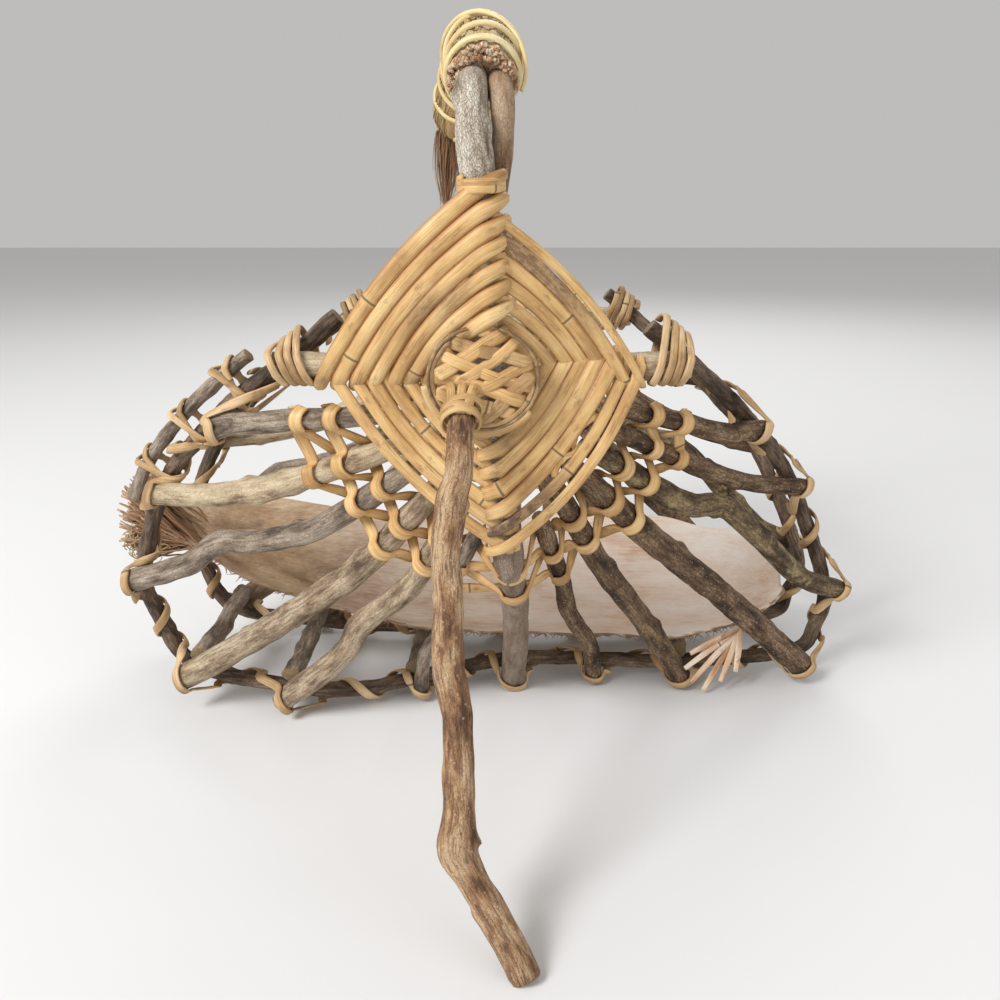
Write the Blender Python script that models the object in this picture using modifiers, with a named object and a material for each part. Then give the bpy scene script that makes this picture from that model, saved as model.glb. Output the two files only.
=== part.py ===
"""Twig basket: crooked sticks bound into a frame with split cane, with a palm sheath laid in it.

Sizes are in millimetres. X runs left to right, Y from the front end to the back end, Z up.
Both ends are built alike; "out" is the distance from the middle plane towards either end.
"""
import math

import bmesh
import bpy
import numpy as np

MM = 0.001

# Clearances and strands
GAP = 0.3              # between pieces that touch
LACE_R = 1.5           # thin round cane of the lacings and bindings
CANE_W = 6.2           # flat cane of the woven diamonds, width
CANE_T = 1.3           # and thickness
WEAVER_W = 5.6         # flat cane of the rows under the diamonds
WEAVER_T = 1.4

# Frame sticks
EYE_Z = 208.0          # height of the diamond's centre, where the arms cross
UPRIGHT_OUT = 111.0    # handle stick at the diamond, out from the middle plane
UPRIGHT_R = 7.6
CROSSBAR_R = 6.4
CROSSBAR_OUT = UPRIGHT_OUT - UPRIGHT_R - GAP - CROSSBAR_R
CROSSBAR_LEFT = -103.0
CROSSBAR_RIGHT = 92.0
CROSSBAR_RISE = 2.0    # its ends stand a little higher than its middle
RIB_OUT = 94.0         # inner ends of the ribs
KEEL_REACH = 90.0      # the handle stick becomes the middle rib this far below the centre,
KEEL_X = 7.0           # this far to the right
KEEL_IN = 6.0          # and this far inwards
HANDLE_Z = 353.0       # centre of the grip where it is highest

# Hoops
HOOP_OUT = 28.0        # hoop planes, out from the middle plane
HOOP_R = 4.5
HOOP_FLOOR = HOOP_R + GAP + 3.4 * LACE_R     # lowest height of the hoops' middle line

LACE_PITCH = 34.0      # the lacing's turns along the hoop
LACE_START = 26.0      # it starts this far from the hoop's lashed end

# Woven diamond
EYE_TURNS = 6
EYE_START = 27.0       # first turn, along the arms
EYE_REACH = {"top": 82.0, "left": 77.0, "bottom": 86.0, "right": 71.0}
EYE_BOW = 0.09         # how far the sides swell, as a share of their reach

# Rows of weaving under the diamond
ROW_FIRST = 9.0        # first row, out from the diamond's edge
ROW_STEP = 8.2
ROWS = 4

LASH_TURNS = 3.0       # round the crossbars' ends
ROD_R = 3.4

# Grip
HUSK_R = 16.8
GRIP_REACH = 92.0      # the grip's front end, out from the middle plane
GRIP_BACK = 88.0       # and its back end
GRIP_RISE = 23.0       # it is an arch: its ends lie this much lower than its middle
GRIP_LEFT = -8.6       # its middle lies this far to the side,
GRIP_LEAN = 8.2        # its back end leans further over,
GRIP_SWEEP = 4.0       # in a slight curve
BINDING_TURNS = 9


def matte(name, colour, roughness=0.7):
    material = bpy.data.materials.new(name)
    material.use_nodes = True
    shader = material.node_tree.nodes["Principled BSDF"]
    shader.inputs["Base Color"].default_value = (*colour, 1.0)
    shader.inputs["Roughness"].default_value = roughness
    shader.inputs["Metallic"].default_value = 0.0
    material.diffuse_color = (*colour, 1.0)
    return material


def smooth(rows, per=4):
    """A smooth curve through a few rows of numbers (Catmull-Rom)."""
    rows = np.array(rows, float)
    rows = np.vstack([2 * rows[0] - rows[1], rows, 2 * rows[-1] - rows[-2]])
    out = []
    for a, b, c, d in zip(rows, rows[1:], rows[2:], rows[3:]):
        for k in range(per):
            t = k / per
            out.append(0.5 * (2 * b + (c - a) * t + (2 * a - 5 * b + 4 * c - d) * t ** 2
                              + (3 * b - a - 3 * c + d) * t ** 3))
    out.append(rows[-2])
    return np.array(out)


def unit(v):
    v = np.array(v, float)
    return v / np.linalg.norm(v)


def link(name, data, material, parent):
    obj = bpy.data.objects.new(name, data)
    data.materials.append(material)
    parts.objects.link(obj)
    obj.parent = parent
    return obj


def tube(name, points, radii, material, resolution=2, parent=None):
    """A stick or a round strand: a poly curve with a radius at each point."""
    curve = bpy.data.curves.new(name, "CURVE")
    curve.dimensions = "3D"
    curve.bevel_depth = MM
    curve.bevel_resolution = resolution
    curve.use_fill_caps = True
    spline = curve.splines.new("POLY")
    spline.points.add(len(points) - 1)
    radii = np.broadcast_to(radii, len(points))
    for point, place, radius in zip(spline.points, np.array(points) * MM, radii):
        point.co = (*place, 1.0)
        point.radius = radius
    return link(name, curve, material, parent or basket)


def band_mesh(mesh, places, normals, crosses, widths, thickness):
    """Flat cane: a sweep whose flat side keeps to the stick under it."""
    shape = bmesh.new()
    rings = []
    for place, normal, cross, width in zip(places, normals, crosses, widths):
        n, c = normal * thickness / 2, cross * width / 2
        rings.append([shape.verts.new((place + q) * MM) for q in (n + c, n - c, -n - c, -n + c)])
    for a, b in zip(rings, rings[1:]):
        for k in range(4):
            shape.faces.new((a[k], a[(k + 1) % 4], b[(k + 1) % 4], b[k]))
    shape.faces.new(rings[0][::-1])
    shape.faces.new(rings[-1])
    bmesh.ops.recalc_face_normals(shape, faces=shape.faces)
    shape.to_mesh(mesh)
    shape.free()


def band(name, places, normals, crosses, widths, thickness, material):
    mesh = bpy.data.meshes.new(name)
    band_mesh(mesh, places, normals, crosses, widths, thickness)
    return link(name, mesh, material, basket)


def solid(obj):
    """Turns a curve object into a welded mesh, so that it can be cut or joined."""
    bpy.context.view_layer.update()
    graph = bpy.context.evaluated_depsgraph_get()
    mesh = bpy.data.meshes.new_from_object(obj.evaluated_get(graph))
    shape = bmesh.new()
    shape.from_mesh(mesh)
    bmesh.ops.remove_doubles(shape, verts=shape.verts, dist=1e-6)
    bmesh.ops.recalc_face_normals(shape, faces=shape.faces)
    shape.to_mesh(mesh)
    shape.free()
    name, home, old = obj.name, obj.users_collection[0], obj.data
    bpy.data.objects.remove(obj)
    bpy.data.curves.remove(old)
    new = bpy.data.objects.new(name, mesh)
    home.objects.link(new)
    new.parent = basket
    return new


def helper(obj):
    """Moves an object to the cutters, out of the model."""
    for home in obj.users_collection:
        home.objects.unlink(obj)
    tools.objects.link(obj)
    obj.hide_render = True
    obj.display_type = "WIRE"
    return obj


def boolean(obj, other, operation):
    modifier = obj.modifiers.new(operation.title(), "BOOLEAN")
    modifier.operation = operation
    modifier.solver = "EXACT"
    modifier.object = other


# Start from an empty scene
for old in list(bpy.data.objects):
    bpy.data.objects.remove(old)
parts = bpy.data.collections.new("Twig basket")
tools = bpy.data.collections.new("Cutters")
for home in (parts, tools):
    bpy.context.scene.collection.children.link(home)
basket = bpy.data.objects.new("basket", None)
parts.objects.link(basket)

BARK_GREY = matte("Bark grey", (0.33, 0.27, 0.20))
BARK_BROWN = matte("Bark brown", (0.20, 0.14, 0.09))
BARK_PALE = matte("Peeled stick", (0.55, 0.44, 0.27))
BARK_LEG = matte("Leg bark", (0.36, 0.26, 0.18))
VINE = matte("Dark vine", (0.16, 0.11, 0.07))
CANE = matte("Golden cane", (0.72, 0.50, 0.24), 0.5)
CANE_DARK = matte("Weathered cane", (0.58, 0.40, 0.20), 0.6)
HUSK = matte("Palm husk", (0.42, 0.26, 0.13), 0.85)
SHEATH = matte("Palm sheath", (0.66, 0.49, 0.35), 0.75)

FRONT, BACK = -1, 1
HANDLE_X = {FRONT: -8.0, BACK: -13.0}    # where the handle sticks stand at the top
# Their rows inside the grip: y, sideways from the grip's middle, radius. The back one goes right through.
GRIP_STICKS = {FRONT: [(-101, -4.8, 7.0), (-80, -4.9, 6.7), (-40, -5.8, 6.5), (0, -6.4, 6.0),
                       (20, -6.6, 5.6)],
               BACK: [(101, 6.0, 7.0), (80, 6.0, 6.8), (40, 6.2, 6.6), (0, 6.6, 6.3), (-40, 7.0, 5.8),
                      (-80, 7.5, 5.3), (-92, 7.6, 5.2)]}
# Its thin end comes down beside the front stick: x, in from the upright's line, up from HANDLE_Z, radius
THIN_END = [(3.6, 12.5, -26.7, 5.2), (4.4, 7.4, -34, 5.1), (4.2, 6.7, -43, 5.0), (3.4, 8.7, -53, 4.9),
            (2.2, 14.6, -62, 4.7), (1.6, 17.0, -70, 4.5)]


def place(x, out, z, side):
    return np.array([x, side * out, z])


def flip(rows, side):
    """Rows of x, out, z to points in space."""
    rows = np.array(rows, float)
    return rows[:, :3] * (1, side, 1)


def least_gap(name, points, thickness):
    """Prints how near a round strand comes to itself, measured on close points."""
    points = np.array(points)
    lengths = np.concatenate([[0], np.cumsum(np.linalg.norm(np.diff(points, axis=0), axis=1))])
    marks = np.arange(0, lengths[-1], 1.0)
    spots = np.column_stack([np.interp(marks, lengths, points[:, k]) for k in range(3)])
    least = 1e9
    for k in range(len(spots) - 12):
        least = min(least, np.linalg.norm(spots[k + 12:] - spots[k], axis=1).min())
    print(f"{name}: least gap to itself {least - thickness:.2f} mm")


# Hoops: where each rib ends, left to right along the bottom
# station: x, z, how far it strays outwards in front and behind
STATIONS = {
    "tip_left": (-74, 231, 56, 56), "top_left": (-95, 214, 56, 56),
    "left_1": (-138, 181, 47, 44), "left_2": (-181, 136, 22, 18), "left_3": (-201, 82, 18, 8),
    "bend_left": (-196, 44, 17, 6), "left_4": (-178, 12, 18, 4), "left_5": (-119, 3.6, 28, 0),
    "low_left": (-82, 0, 26, 0), "left_6": (-47, 1, 14, 0), "keel": (9, 3.5, -4, -2),
    "right_6": (61, 2, -7, 0), "right_5": (113, 2.1, -4, 4), "right_4": (187, 5, -12, 8),
    "bend_right": (200, 22, -13, 8), "right_3": (203, 60, -14, 8), "right_2": (171, 130, -4, 14),
    "right_1": (134, 174, 27, 36), "top_right": (93, 211, 55, 55), "tip_right": (74, 226, 56, 56),
}
HOOP_STEPS = 3


def hoop_path(side):
    rows = [(x, HOOP_OUT + (front if side == FRONT else back), z + HOOP_FLOOR * (z < 60), HOOP_R)
            for x, z, front, back in STATIONS.values()]
    path = smooth(rows, HOOP_STEPS)
    path[:, 1] *= side
    path[:, 2] = np.maximum(path[:, 2], HOOP_FLOOR)
    return path[:, :3]


def hoop_station(path, name):
    """Point and direction of the hoop where a rib ends."""
    k = list(STATIONS).index(name) * HOOP_STEPS
    return path[k], unit(path[min(k + 1, len(path) - 1)] - path[max(k - 1, 0)])


# Ribs: angle from straight down at the inner end and at the end of the woven fan, inner reach,
# radii at the inner end, in the middle and at the hoop, and crooks (share of the way, x, z)
RIBS = {
    "left_1": (-68, -77, 60, (4.8, 5.6, 6.2), [(0.5, 0, 1)], BARK_GREY),
    "left_2": (-50, -60, 58, (4.8, 6.8, 6.0), [(0.5, 0, -3)], BARK_PALE),
    "left_3": (-37, -47, 58, (4.8, 6.3, 6.4), [(0.3, 0, 2), (0.52, 2, 8), (0.7, 0, 0)], BARK_GREY),
    "left_4": (-24, -33, 62, (4.8, 7.2, 7.6), [(0.35, 1, -2), (0.7, -1, -3)], BARK_GREY),
    "left_5": (-13, -21, 72, (4.6, 6.4, 6.8), [(0.32, -2, 2), (0.55, 2, -2)], BARK_GREY),
    "left_6": (-6, -12, 84, (3.8, 4.2, 4.2), [(0.3, 3, -2), (0.7, -2, 3)], BARK_GREY),
    "keel": (4, 5, KEEL_REACH, (UPRIGHT_R, 7.2, 7.4), [(0.5, 1, 0)], BARK_BROWN),
    "right_6": (17, 17, 78, (4.2, 4.8, 5.2), [(0.3, -2, 0), (0.7, 3, 1)], BARK_BROWN),
    "right_5": (27, 27.5, 64, (4.8, 6.4, 6.4), [(0.5, 1, 1)], BARK_BROWN),
    "right_4": (38, 41.5, 60, (4.8, 7.4, 7.6), [(0.5, 1, 1)], BARK_BROWN),
    "right_3": (50, 53, 60, (4.8, 6.4, 5.8), [(0.25, -1, 11), (0.55, 2, -1), (0.75, 0, -5)], BARK_BROWN),
    "right_2": (62, 62, 60, (4.6, 5.0, 4.8), [(0.5, 0, -3)], BARK_BROWN),
    "right_1": (73, 72.5, 60, (4.6, 5.0, 5.4), [(0.5, 1, 1)], BARK_BROWN),
}
FAN_REACH = 126.0
TIP = 1.0              # a rib's end passes the hoop's middle by this much


def polar(angle, reach, out, side):
    a = math.radians(angle)
    return np.array([reach * math.sin(a), side * out, EYE_Z - reach * math.cos(a)])


def rib_ends(name, path, side):
    """Inner end, end of the woven fan and seat on the hoop."""
    inner_angle, outer_angle, reach, radii, _, _ = RIBS[name]
    out_in = UPRIGHT_OUT - KEEL_IN if name == "keel" else RIB_OUT
    inner = polar(inner_angle, reach, out_in, side)
    if name == "keel":
        inner = place(KEEL_X, out_in, EYE_Z - KEEL_REACH, side)
    hoop, along = hoop_station(path, name)
    far = polar(outer_angle, FAN_REACH, out_in, side)
    seat = hoop
    for _ in range(3):
        full = np.linalg.norm((far - inner)[[0, 2]]) + np.linalg.norm((seat - far)[[0, 2]])
        share = np.linalg.norm((far - inner)[[0, 2]]) / full
        far[1] = inner[1] + (seat[1] - inner[1]) * share
        normal = unit(np.cross(along, seat - far))
        normal *= math.copysign(1, normal[1] * side)
        seat = hoop + normal * (HOOP_R + radii[2] + GAP)
    return inner, far, seat, normal


def rib_rows(name, path, side):
    _, _, _, radii, crooks, _ = RIBS[name]
    inner, far, seat, _ = rib_ends(name, path, side)
    rows = [(*far, radii[1])]
    for t, dx, dz in crooks:
        spot = far + (seat - far) * t + (dx, 0, dz)
        rows.append((*spot, radii[1] + (radii[2] - radii[1]) * t))
    rows.append((*seat, radii[2]))
    rows = np.array(rows) if len(crooks) > 1 else smooth(rows, 2)
    tip = seat + unit(rows[-1, :3] - rows[-2, :3]) * TIP
    near = inner + (far - inner) * 0.35
    return np.vstack([(*inner, radii[0]), (*near, radii[0] * 0.35 + radii[1] * 0.65), rows,
                      (*tip, radii[2] * 0.96)])


def rib_at(name, path, side, reach):
    """Centre, radius and direction of a rib at a distance from the diamond's centre."""
    radii = RIBS[name][3]
    inner, far, _, _ = rib_ends(name, path, side)
    lo, hi = 0.0, 1.0
    for _ in range(30):
        t = (lo + hi) / 2
        spot = inner + (far - inner) * t
        if math.hypot(spot[0], spot[2] - EYE_Z) < reach:
            lo = t
        else:
            hi = t
    r_near = radii[0] * 0.35 + radii[1] * 0.65
    radius = radii[0] + (r_near - radii[0]) * t / 0.35 if t < 0.35 else (
        r_near + (radii[1] - r_near) * (t - 0.35) / 0.65)
    return spot, radius, unit(far - inner)


def eye_edge(angle):
    """Reach of the diamond's edge at an angle from straight down."""
    return 68.0 + 20.0 * math.exp(-(angle / 26.0) ** 2)


# Leg: crooked prop from the middle of the diamond to the ground, measured out from the upright's line
LEG = [(-13, 13.5, 197.5, 6.6), (-15, 27, 189, 7.2), (-12.5, 40, 175, 7.4), (-17, 51, 156, 8),
       (-19, 59, 142, 7.2), (-20, 68, 124, 7.3), (-17, 82, 99, 7.6), (-18, 88, 88, 7),
       (-14, 95, 74, 7.4), (-11, 105, 56, 7.4), (-14, 113, 42, 8.2), (-3, 121, 26, 7.2),
       (8, 130, 9, 7.2), (14, 135, -3, 7.3)]
BACK_LEG = [(6, 14.2, 204, 6.6), (9, 29, 194, 7.2), (12, 41, 174, 7.5), (9, 52, 154, 7.2),
            (3, 61, 136, 7.9), (4, 70, 118, 7.2), (8, 81, 98, 7.4), (10, 92, 76, 7.8),
            (5, 101, 60, 7.3), (-4, 110, 42, 7.5), (-8, 121, 24, 7.4), (-6, 130, 8, 7.4),
            (-5, 134, -3, 7.4)]


def ground_cutter():
    bpy.ops.mesh.primitive_cube_add(size=1.0, location=(0, 0, -0.05))
    block = bpy.context.object
    block.name = "ground_cutter"
    block.scale = (1.0, 1.0, 0.1)
    return helper(block)


def make_leg(name, rows, side, ground):
    rows = np.array(rows) + (0, UPRIGHT_OUT, 0, 0)
    leg = solid(tube(name, flip(rows, side), rows[:, 3], BARK_LEG))
    boolean(leg, ground, "DIFFERENCE")
    return leg


def grip_at(y):
    """Middle line of the grip: an arch that leans left at the back."""
    t = y / GRIP_REACH
    return np.array([GRIP_LEFT - GRIP_LEAN * t - GRIP_SWEEP * t * t, y, HANDLE_Z - GRIP_RISE * t * t])


def grip_frame(y):
    """Its place, its direction, and the directions up and to the right across it."""
    ahead = unit(grip_at(y + 1) - grip_at(y - 1))
    right = unit(np.cross(ahead, (0.0, 0.0, 1.0)))
    return grip_at(y), ahead, np.cross(right, ahead), right


# Handle sticks: middle rib, arm of the diamond and half of the handle in one
def make_upright(name, side, path, top_x, material):
    lift = [(top_x * 0.8, side * UPRIGHT_OUT, EYE_Z + 84, UPRIGHT_R),
            (top_x, side * UPRIGHT_OUT, HANDLE_Z - 48, UPRIGHT_R - 0.2),
            (top_x - 0.8, side * (UPRIGHT_OUT - 2.5), HANDLE_Z - 37, UPRIGHT_R - 0.4)]
    for y, aside, r in GRIP_STICKS[side]:
        x, y, z = grip_at(y)
        lift.append((x + aside, y, z, r))
    if side == BACK:
        lift += [(x, inwards - UPRIGHT_OUT, HANDLE_Z + z, r) for x, inwards, z, r in THIN_END]
    rows = np.vstack([lift[::-1], (0, side * UPRIGHT_OUT, EYE_Z, UPRIGHT_R), rib_rows("keel", path, side)])
    tube(name, rows[:, :3], rows[:, 3], material)
    return rows


def make_crossbar(name, side, material):
    rows = np.array([(CROSSBAR_LEFT, CROSSBAR_OUT, EYE_Z + CROSSBAR_RISE, CROSSBAR_R - 0.2),
                     (0, CROSSBAR_OUT, EYE_Z, CROSSBAR_R),
                     (CROSSBAR_RIGHT, CROSSBAR_OUT, EYE_Z + CROSSBAR_RISE, CROSSBAR_R - 0.2)])
    return tube(name, flip(rows, side), rows[:, 3], material)


# Woven diamond: one unbroken flat strand, wound out over the four arms
# arm: direction, sideways direction of travel, depth of its stick, its radius,
# and how its stick drifts sideways and inwards for each millimetre along it
def eye_arms(top_x):
    return [("top", (0, 1), (1, 0), UPRIGHT_OUT, UPRIGHT_R, top_x * 0.8 / 84, 0.0),
            ("right", (1, 0), (0, -1), CROSSBAR_OUT, CROSSBAR_R, -CROSSBAR_RISE / CROSSBAR_RIGHT, 0.0),
            ("bottom", (0, -1), (-1, 0), UPRIGHT_OUT, UPRIGHT_R, -KEEL_X / KEEL_REACH,
             KEEL_IN / KEEL_REACH),
            ("left", (-1, 0), (0, 1), CROSSBAR_OUT, CROSSBAR_R, -CROSSBAR_RISE / CROSSBAR_LEFT, 0.0)]


PINCH_W = 2.9          # width where the strand turns round an arm


def eye_strand(side, arms):
    places, normals, crosses, widths = [], [], [], []

    def add(arm, u, sideways, front, normal, cross, width):
        _, along, travel, depth, _, drift, lean = arm
        x = u * along[0] + (sideways + u * drift) * travel[0]
        z = EYE_Z + u * along[1] + (sideways + u * drift) * travel[1]
        places.append(place(x, depth - u * lean + front, z, side))
        nx, nf, cu, cs = normal[0], normal[1], cross[0], cross[1]
        normals.append(np.array([nx * travel[0], side * nf, nx * travel[1]]))
        crosses.append(unit([cu * along[0] + cs * travel[0], 0.0, cu * along[1] + cs * travel[1]]))
        widths.append(width)

    for quarter in range(4 * EYE_TURNS):
        arm, following = arms[quarter % 4], arms[(quarter + 1) % 4]
        step = (EYE_REACH[arm[0]] - EYE_START) / EYE_TURNS
        next_step = (EYE_REACH[following[0]] - EYE_START) / EYE_TURNS
        reach = EYE_START + step * quarter / 4
        next_reach = EYE_START + next_step * (quarter + 1) / 4
        wrap = (arm[4] + GAP + CANE_T / 2) / math.cos(math.radians(36))
        if quarter:
            add(arm, reach, 0.0, wrap + CANE_T + 2 * GAP, (0, 1), (1, 0.2), PINCH_W + 0.4)
        for k, turn in enumerate((72, 144, 216, 288)):
            a = math.radians(turn)
            add(arm, reach + step / 2 * (k + 1) / 4, wrap * math.sin(a), wrap * math.cos(a),
                (math.sin(a), math.cos(a)), (1, 0), PINCH_W)
        add(arm, reach + step / 2, 0.0, wrap, (0, 1), (1, 0), PINCH_W)
        leave = wrap + 1.5
        add(arm, reach + step / 2, leave, wrap - 0.5, (0, 1), (1, 0.3), PINCH_W + 0.4)
        # the span to the next arm swells outwards
        start = (np.array(arm[1]) * (reach + step / 2)
                 + np.array(arm[2]) * (leave + reach * arm[5]))
        arrive = (np.array(following[1]) * (next_reach - 2.0)
                  - np.array(following[2]) * (leave - next_reach * following[5]))
        outward = unit(np.array(arm[1]) + np.array(following[1]))
        f_start, f_end = arm[3] + wrap, following[3] + following[4] + 2 * CANE_T + 3 * GAP
        for t, width in ((0.33, CANE_W * 0.95), (0.75, CANE_W)):
            spot = start + (arrive - start) * t + outward * (4 * EYE_BOW * (reach + 4) * t * (1 - t))
            z = EYE_Z + spot[1]
            places.append(place(spot[0], f_start + (f_end - f_start) * t, z, side))
            ahead = unit((arrive - start) + outward * (4 * EYE_BOW * (reach + 4) * (1 - 2 * t)))
            normals.append(np.array([0.0, side, 0.0]))
            crosses.append(np.array([-ahead[1], 0.0, ahead[0]])
                           * math.copysign(1, -ahead[1] * outward[0] + ahead[0] * outward[1]))
            widths.append(width)
    return places, normals, crosses, widths


def make_eye(name, side, top_x):
    places, normals, crosses, widths = eye_strand(side, eye_arms(top_x))
    least_gap(name, places, CANE_T)
    band(name, places, normals, crosses, widths, CANE_T, CANE)


# Pad: strips woven criss-cross over the crossing of the arms
PAD_STRIPS = 4
PAD_PITCH = 8.6
PAD_HALF = 18.5
PAD_WAVE = 0.42        # a strip's rise over the next, as a share of its thickness


def make_pad(name, side):
    top = UPRIGHT_OUT + UPRIGHT_R + GAP + (0.5 + PAD_WAVE) * CANE_T
    pieces = []
    for way in (1, -1):
        along, across = unit((way, 1)), unit((-1, way))
        for k in range(PAD_STRIPS):
            offset = (k - (PAD_STRIPS - 1) / 2) * PAD_PITCH
            half = PAD_HALF - abs(offset) * 0.35
            places, normals, crosses, widths = [], [], [], []
            for q in (-half, *(PAD_PITCH * (m - (PAD_STRIPS - 1) / 2) for m in range(PAD_STRIPS)), half):
                wave = PAD_WAVE * CANE_T * math.cos(math.pi * (q / PAD_PITCH + 1.5 + k))
                x, z = along * q + across * offset
                places.append(place(x - 1.0, top + wave, EYE_Z - 1 + z, side))
                normals.append(np.array([0.0, side, 0.0]))
                crosses.append(np.array([across[0], 0.0, across[1]]))
                widths.append(CANE_W)
            pieces.append((f"{name}_{len(pieces)}", places, normals, crosses, widths))
    mesh = bpy.data.meshes.new(name)
    band_mesh(mesh, *pieces[0][1:], CANE_T)
    pad = link(name, mesh, CANE, basket)
    for piece in pieces[1:]:
        boolean(pad, helper(band(*piece, CANE_T, CANE)), "UNION")
    return pad


# Rows of flat cane under the diamond, over and under the ribs by turns
ORDER = [name for name in STATIONS if name in RIBS]


def make_weaver(name, row, side, path):
    places, normals, crosses, widths = [], [], [], []
    for k, rib in enumerate(ORDER):
        over = (k + row) % 2 == 0
        reach = eye_edge(RIBS[rib][1]) + ROW_FIRST + ROW_STEP * row
        if reach < RIBS[rib][2] + 4:
            continue
        centre, radius, along = rib_at(rib, path, side, reach)
        front = np.array([0.0, side, 0.0])
        front = unit(front - along * front.dot(along))
        right = np.cross(along, front) * side
        turns = (-69, -23, 23, 69) if over else (-62, 0, 62)
        hold = (radius + 2 * GAP + WEAVER_T / 2) / math.cos(math.radians((turns[-1] - turns[-2]) / 2))
        for turn in turns:
            a = math.radians(turn)
            if turn == turns[0] and places:
                start = centre + ((front if over else -front) * math.cos(a) + right * math.sin(a)) * hold
                if np.linalg.norm(start - places[-1]) > 12:      # one more ring on a long slanted step
                    places.append((start + places[-1]) / 2)
                    crosses.append(unit(crosses[-1] + along))
                    widths.append(WEAVER_W)
            outward = (front if over else -front) * math.cos(a) + right * math.sin(a)
            bulge = (4.0 if over else -1.5) * math.cos(a)
            places.append(centre + outward * hold + along * bulge)
            crosses.append(along)
            widths.append(WEAVER_W)
    for k, cross in enumerate(crosses):
        ahead = places[min(k + 1, len(places) - 1)] - places[max(k - 1, 0)]
        normals.append(unit(np.cross(cross, ahead)) * side)
    return band(name, places, normals, crosses, widths, WEAVER_T, CANE)


# Lacing: one thin strand wound along the hoop and over each rib's end
def make_lacing(name, side, path):
    lengths = np.concatenate([[0], np.cumsum(np.linalg.norm(np.diff(path, axis=0), axis=1))])

    def frame(s):
        spot = np.array([np.interp(s, lengths, path[:, k]) for k in range(3)])
        ahead = np.array([np.interp(s + 2, lengths, path[:, k]) for k in range(3)])
        behind = np.array([np.interp(s - 2, lengths, path[:, k]) for k in range(3)])
        along = unit(ahead - behind)
        front = np.array([0.0, side, 0.0])
        front = unit(front - along * front.dot(along))
        return spot, along, front, np.cross(along, front)

    hug = (HOOP_R + GAP + LACE_R) / math.cos(math.radians(30))
    marks = [(lengths[HOOP_STEPS] + LACE_START, 0, [])]
    for rib in ORDER:
        s = lengths[list(STATIONS).index(rib) * HOOP_STEPS]
        _, _, seat, normal = rib_ends(rib, path, side)
        rows = rib_rows(rib, path, side)
        rod = unit(rows[-1, :3] - rows[-2, :3])
        normal = unit(normal - rod * normal.dot(rod))
        _, along, front, radial = frame(s)
        beside = unit(np.cross(normal, rod)) * math.copysign(1, np.cross(normal, rod).dot(along))
        outer = math.copysign(1, rod.dot(radial))
        around = (RIBS[rib][3][2] + LACE_R + GAP) / math.cos(math.radians(22.5))
        half = (around + 1 + hug * abs(rod.dot(along))) / abs(rod.dot(radial))
        over = []
        for turn in (-90, -45, 0, 45, 90):
            a = math.radians(turn)
            over.append(seat + (beside * math.sin(a) + normal * math.cos(a)) * around
                        + rod * (outer * 2.0 * math.sin(a)))
        marks.append((s, half, over))
    marks.append((lengths[-1 - HOOP_STEPS] - LACE_START, 0, []))
    points = []
    for (s, half, over), (s_next, half_next, _) in zip(marks, marks[1:]):
        if over:
            spot, _, front, radial = frame(s - half)
            points += [spot - radial * hug, spot + (front * 0.9 - radial) * hug] + over
            spot, _, front, radial = frame(s + half)
            points.append(spot + (front * 0.9 + radial) * hug)
        s0, s1 = s + half, s_next - half_next
        turns = 0.5 + max(0, round((s1 - s0) / LACE_PITCH - 0.5))
        count = max(3, int(round(turns * 6)))
        for k in range(count):
            t = k / count
            a = math.radians(90 + 360 * turns * t)
            spot, _, front, radial = frame(s0 + (s1 - s0) * t)
            points.append(spot + (front * math.cos(a) + radial * math.sin(a)) * hug)
    least_gap(name, points, 2 * LACE_R)
    tube(name, points, LACE_R, CANE_DARK, 0)


# Lashings: a thin strand wound round a crossbar's end and the hoop that crosses behind it
def make_lashing(name, side, path, left):
    x = CROSSBAR_LEFT + 9 if left else CROSSBAR_RIGHT - 9
    bar = place(x, CROSSBAR_OUT, EYE_Z + CROSSBAR_RISE * x / (CROSSBAR_LEFT if left else CROSSBAR_RIGHT),
                side)
    near = path[np.argmin(np.linalg.norm(path - bar, axis=1))]
    k = int(np.argmin(np.linalg.norm(path - bar, axis=1)))
    hoop_way = unit(path[min(k + 1, len(path) - 1)] - path[max(k - 1, 0)])
    bar_way = np.array([1.0, 0.0, 0.0]) * math.copysign(1, hoop_way[0])
    along = unit(hoop_way + bar_way)
    t = (bar - near).dot(along)
    hoop = near + hoop_way * t / hoop_way.dot(along)
    across = unit(hoop - bar)
    across = unit(across - along * across.dot(along))
    sideways = np.cross(along, across)
    turns, steps = LASH_TURNS, 10
    round_r = (CROSSBAR_R + LACE_R + GAP) / (math.cos(math.pi / steps) * bar_way.dot(along)) + 0.45
    points = []
    for k in range(int(turns * steps) + 1):
        a = 2 * math.pi * k / steps
        advance = (k / steps - turns / 2) * (2 * LACE_R + GAP + 0.3)
        s, c = math.sin(a), math.cos(a)
        share = 0.5 + 0.5 * max(-1.0, min(1.0, c * 2.5))
        spot = ((bar + bar_way * advance / bar_way.dot(along)) * (1 - share)
                + (hoop + hoop_way * advance / hoop_way.dot(along)) * share)
        points.append(spot + (sideways * s + across * c) * round_r)
    least_gap(name, points, 2 * LACE_R)
    tube(name, points, LACE_R, CANE, 0)


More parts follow.
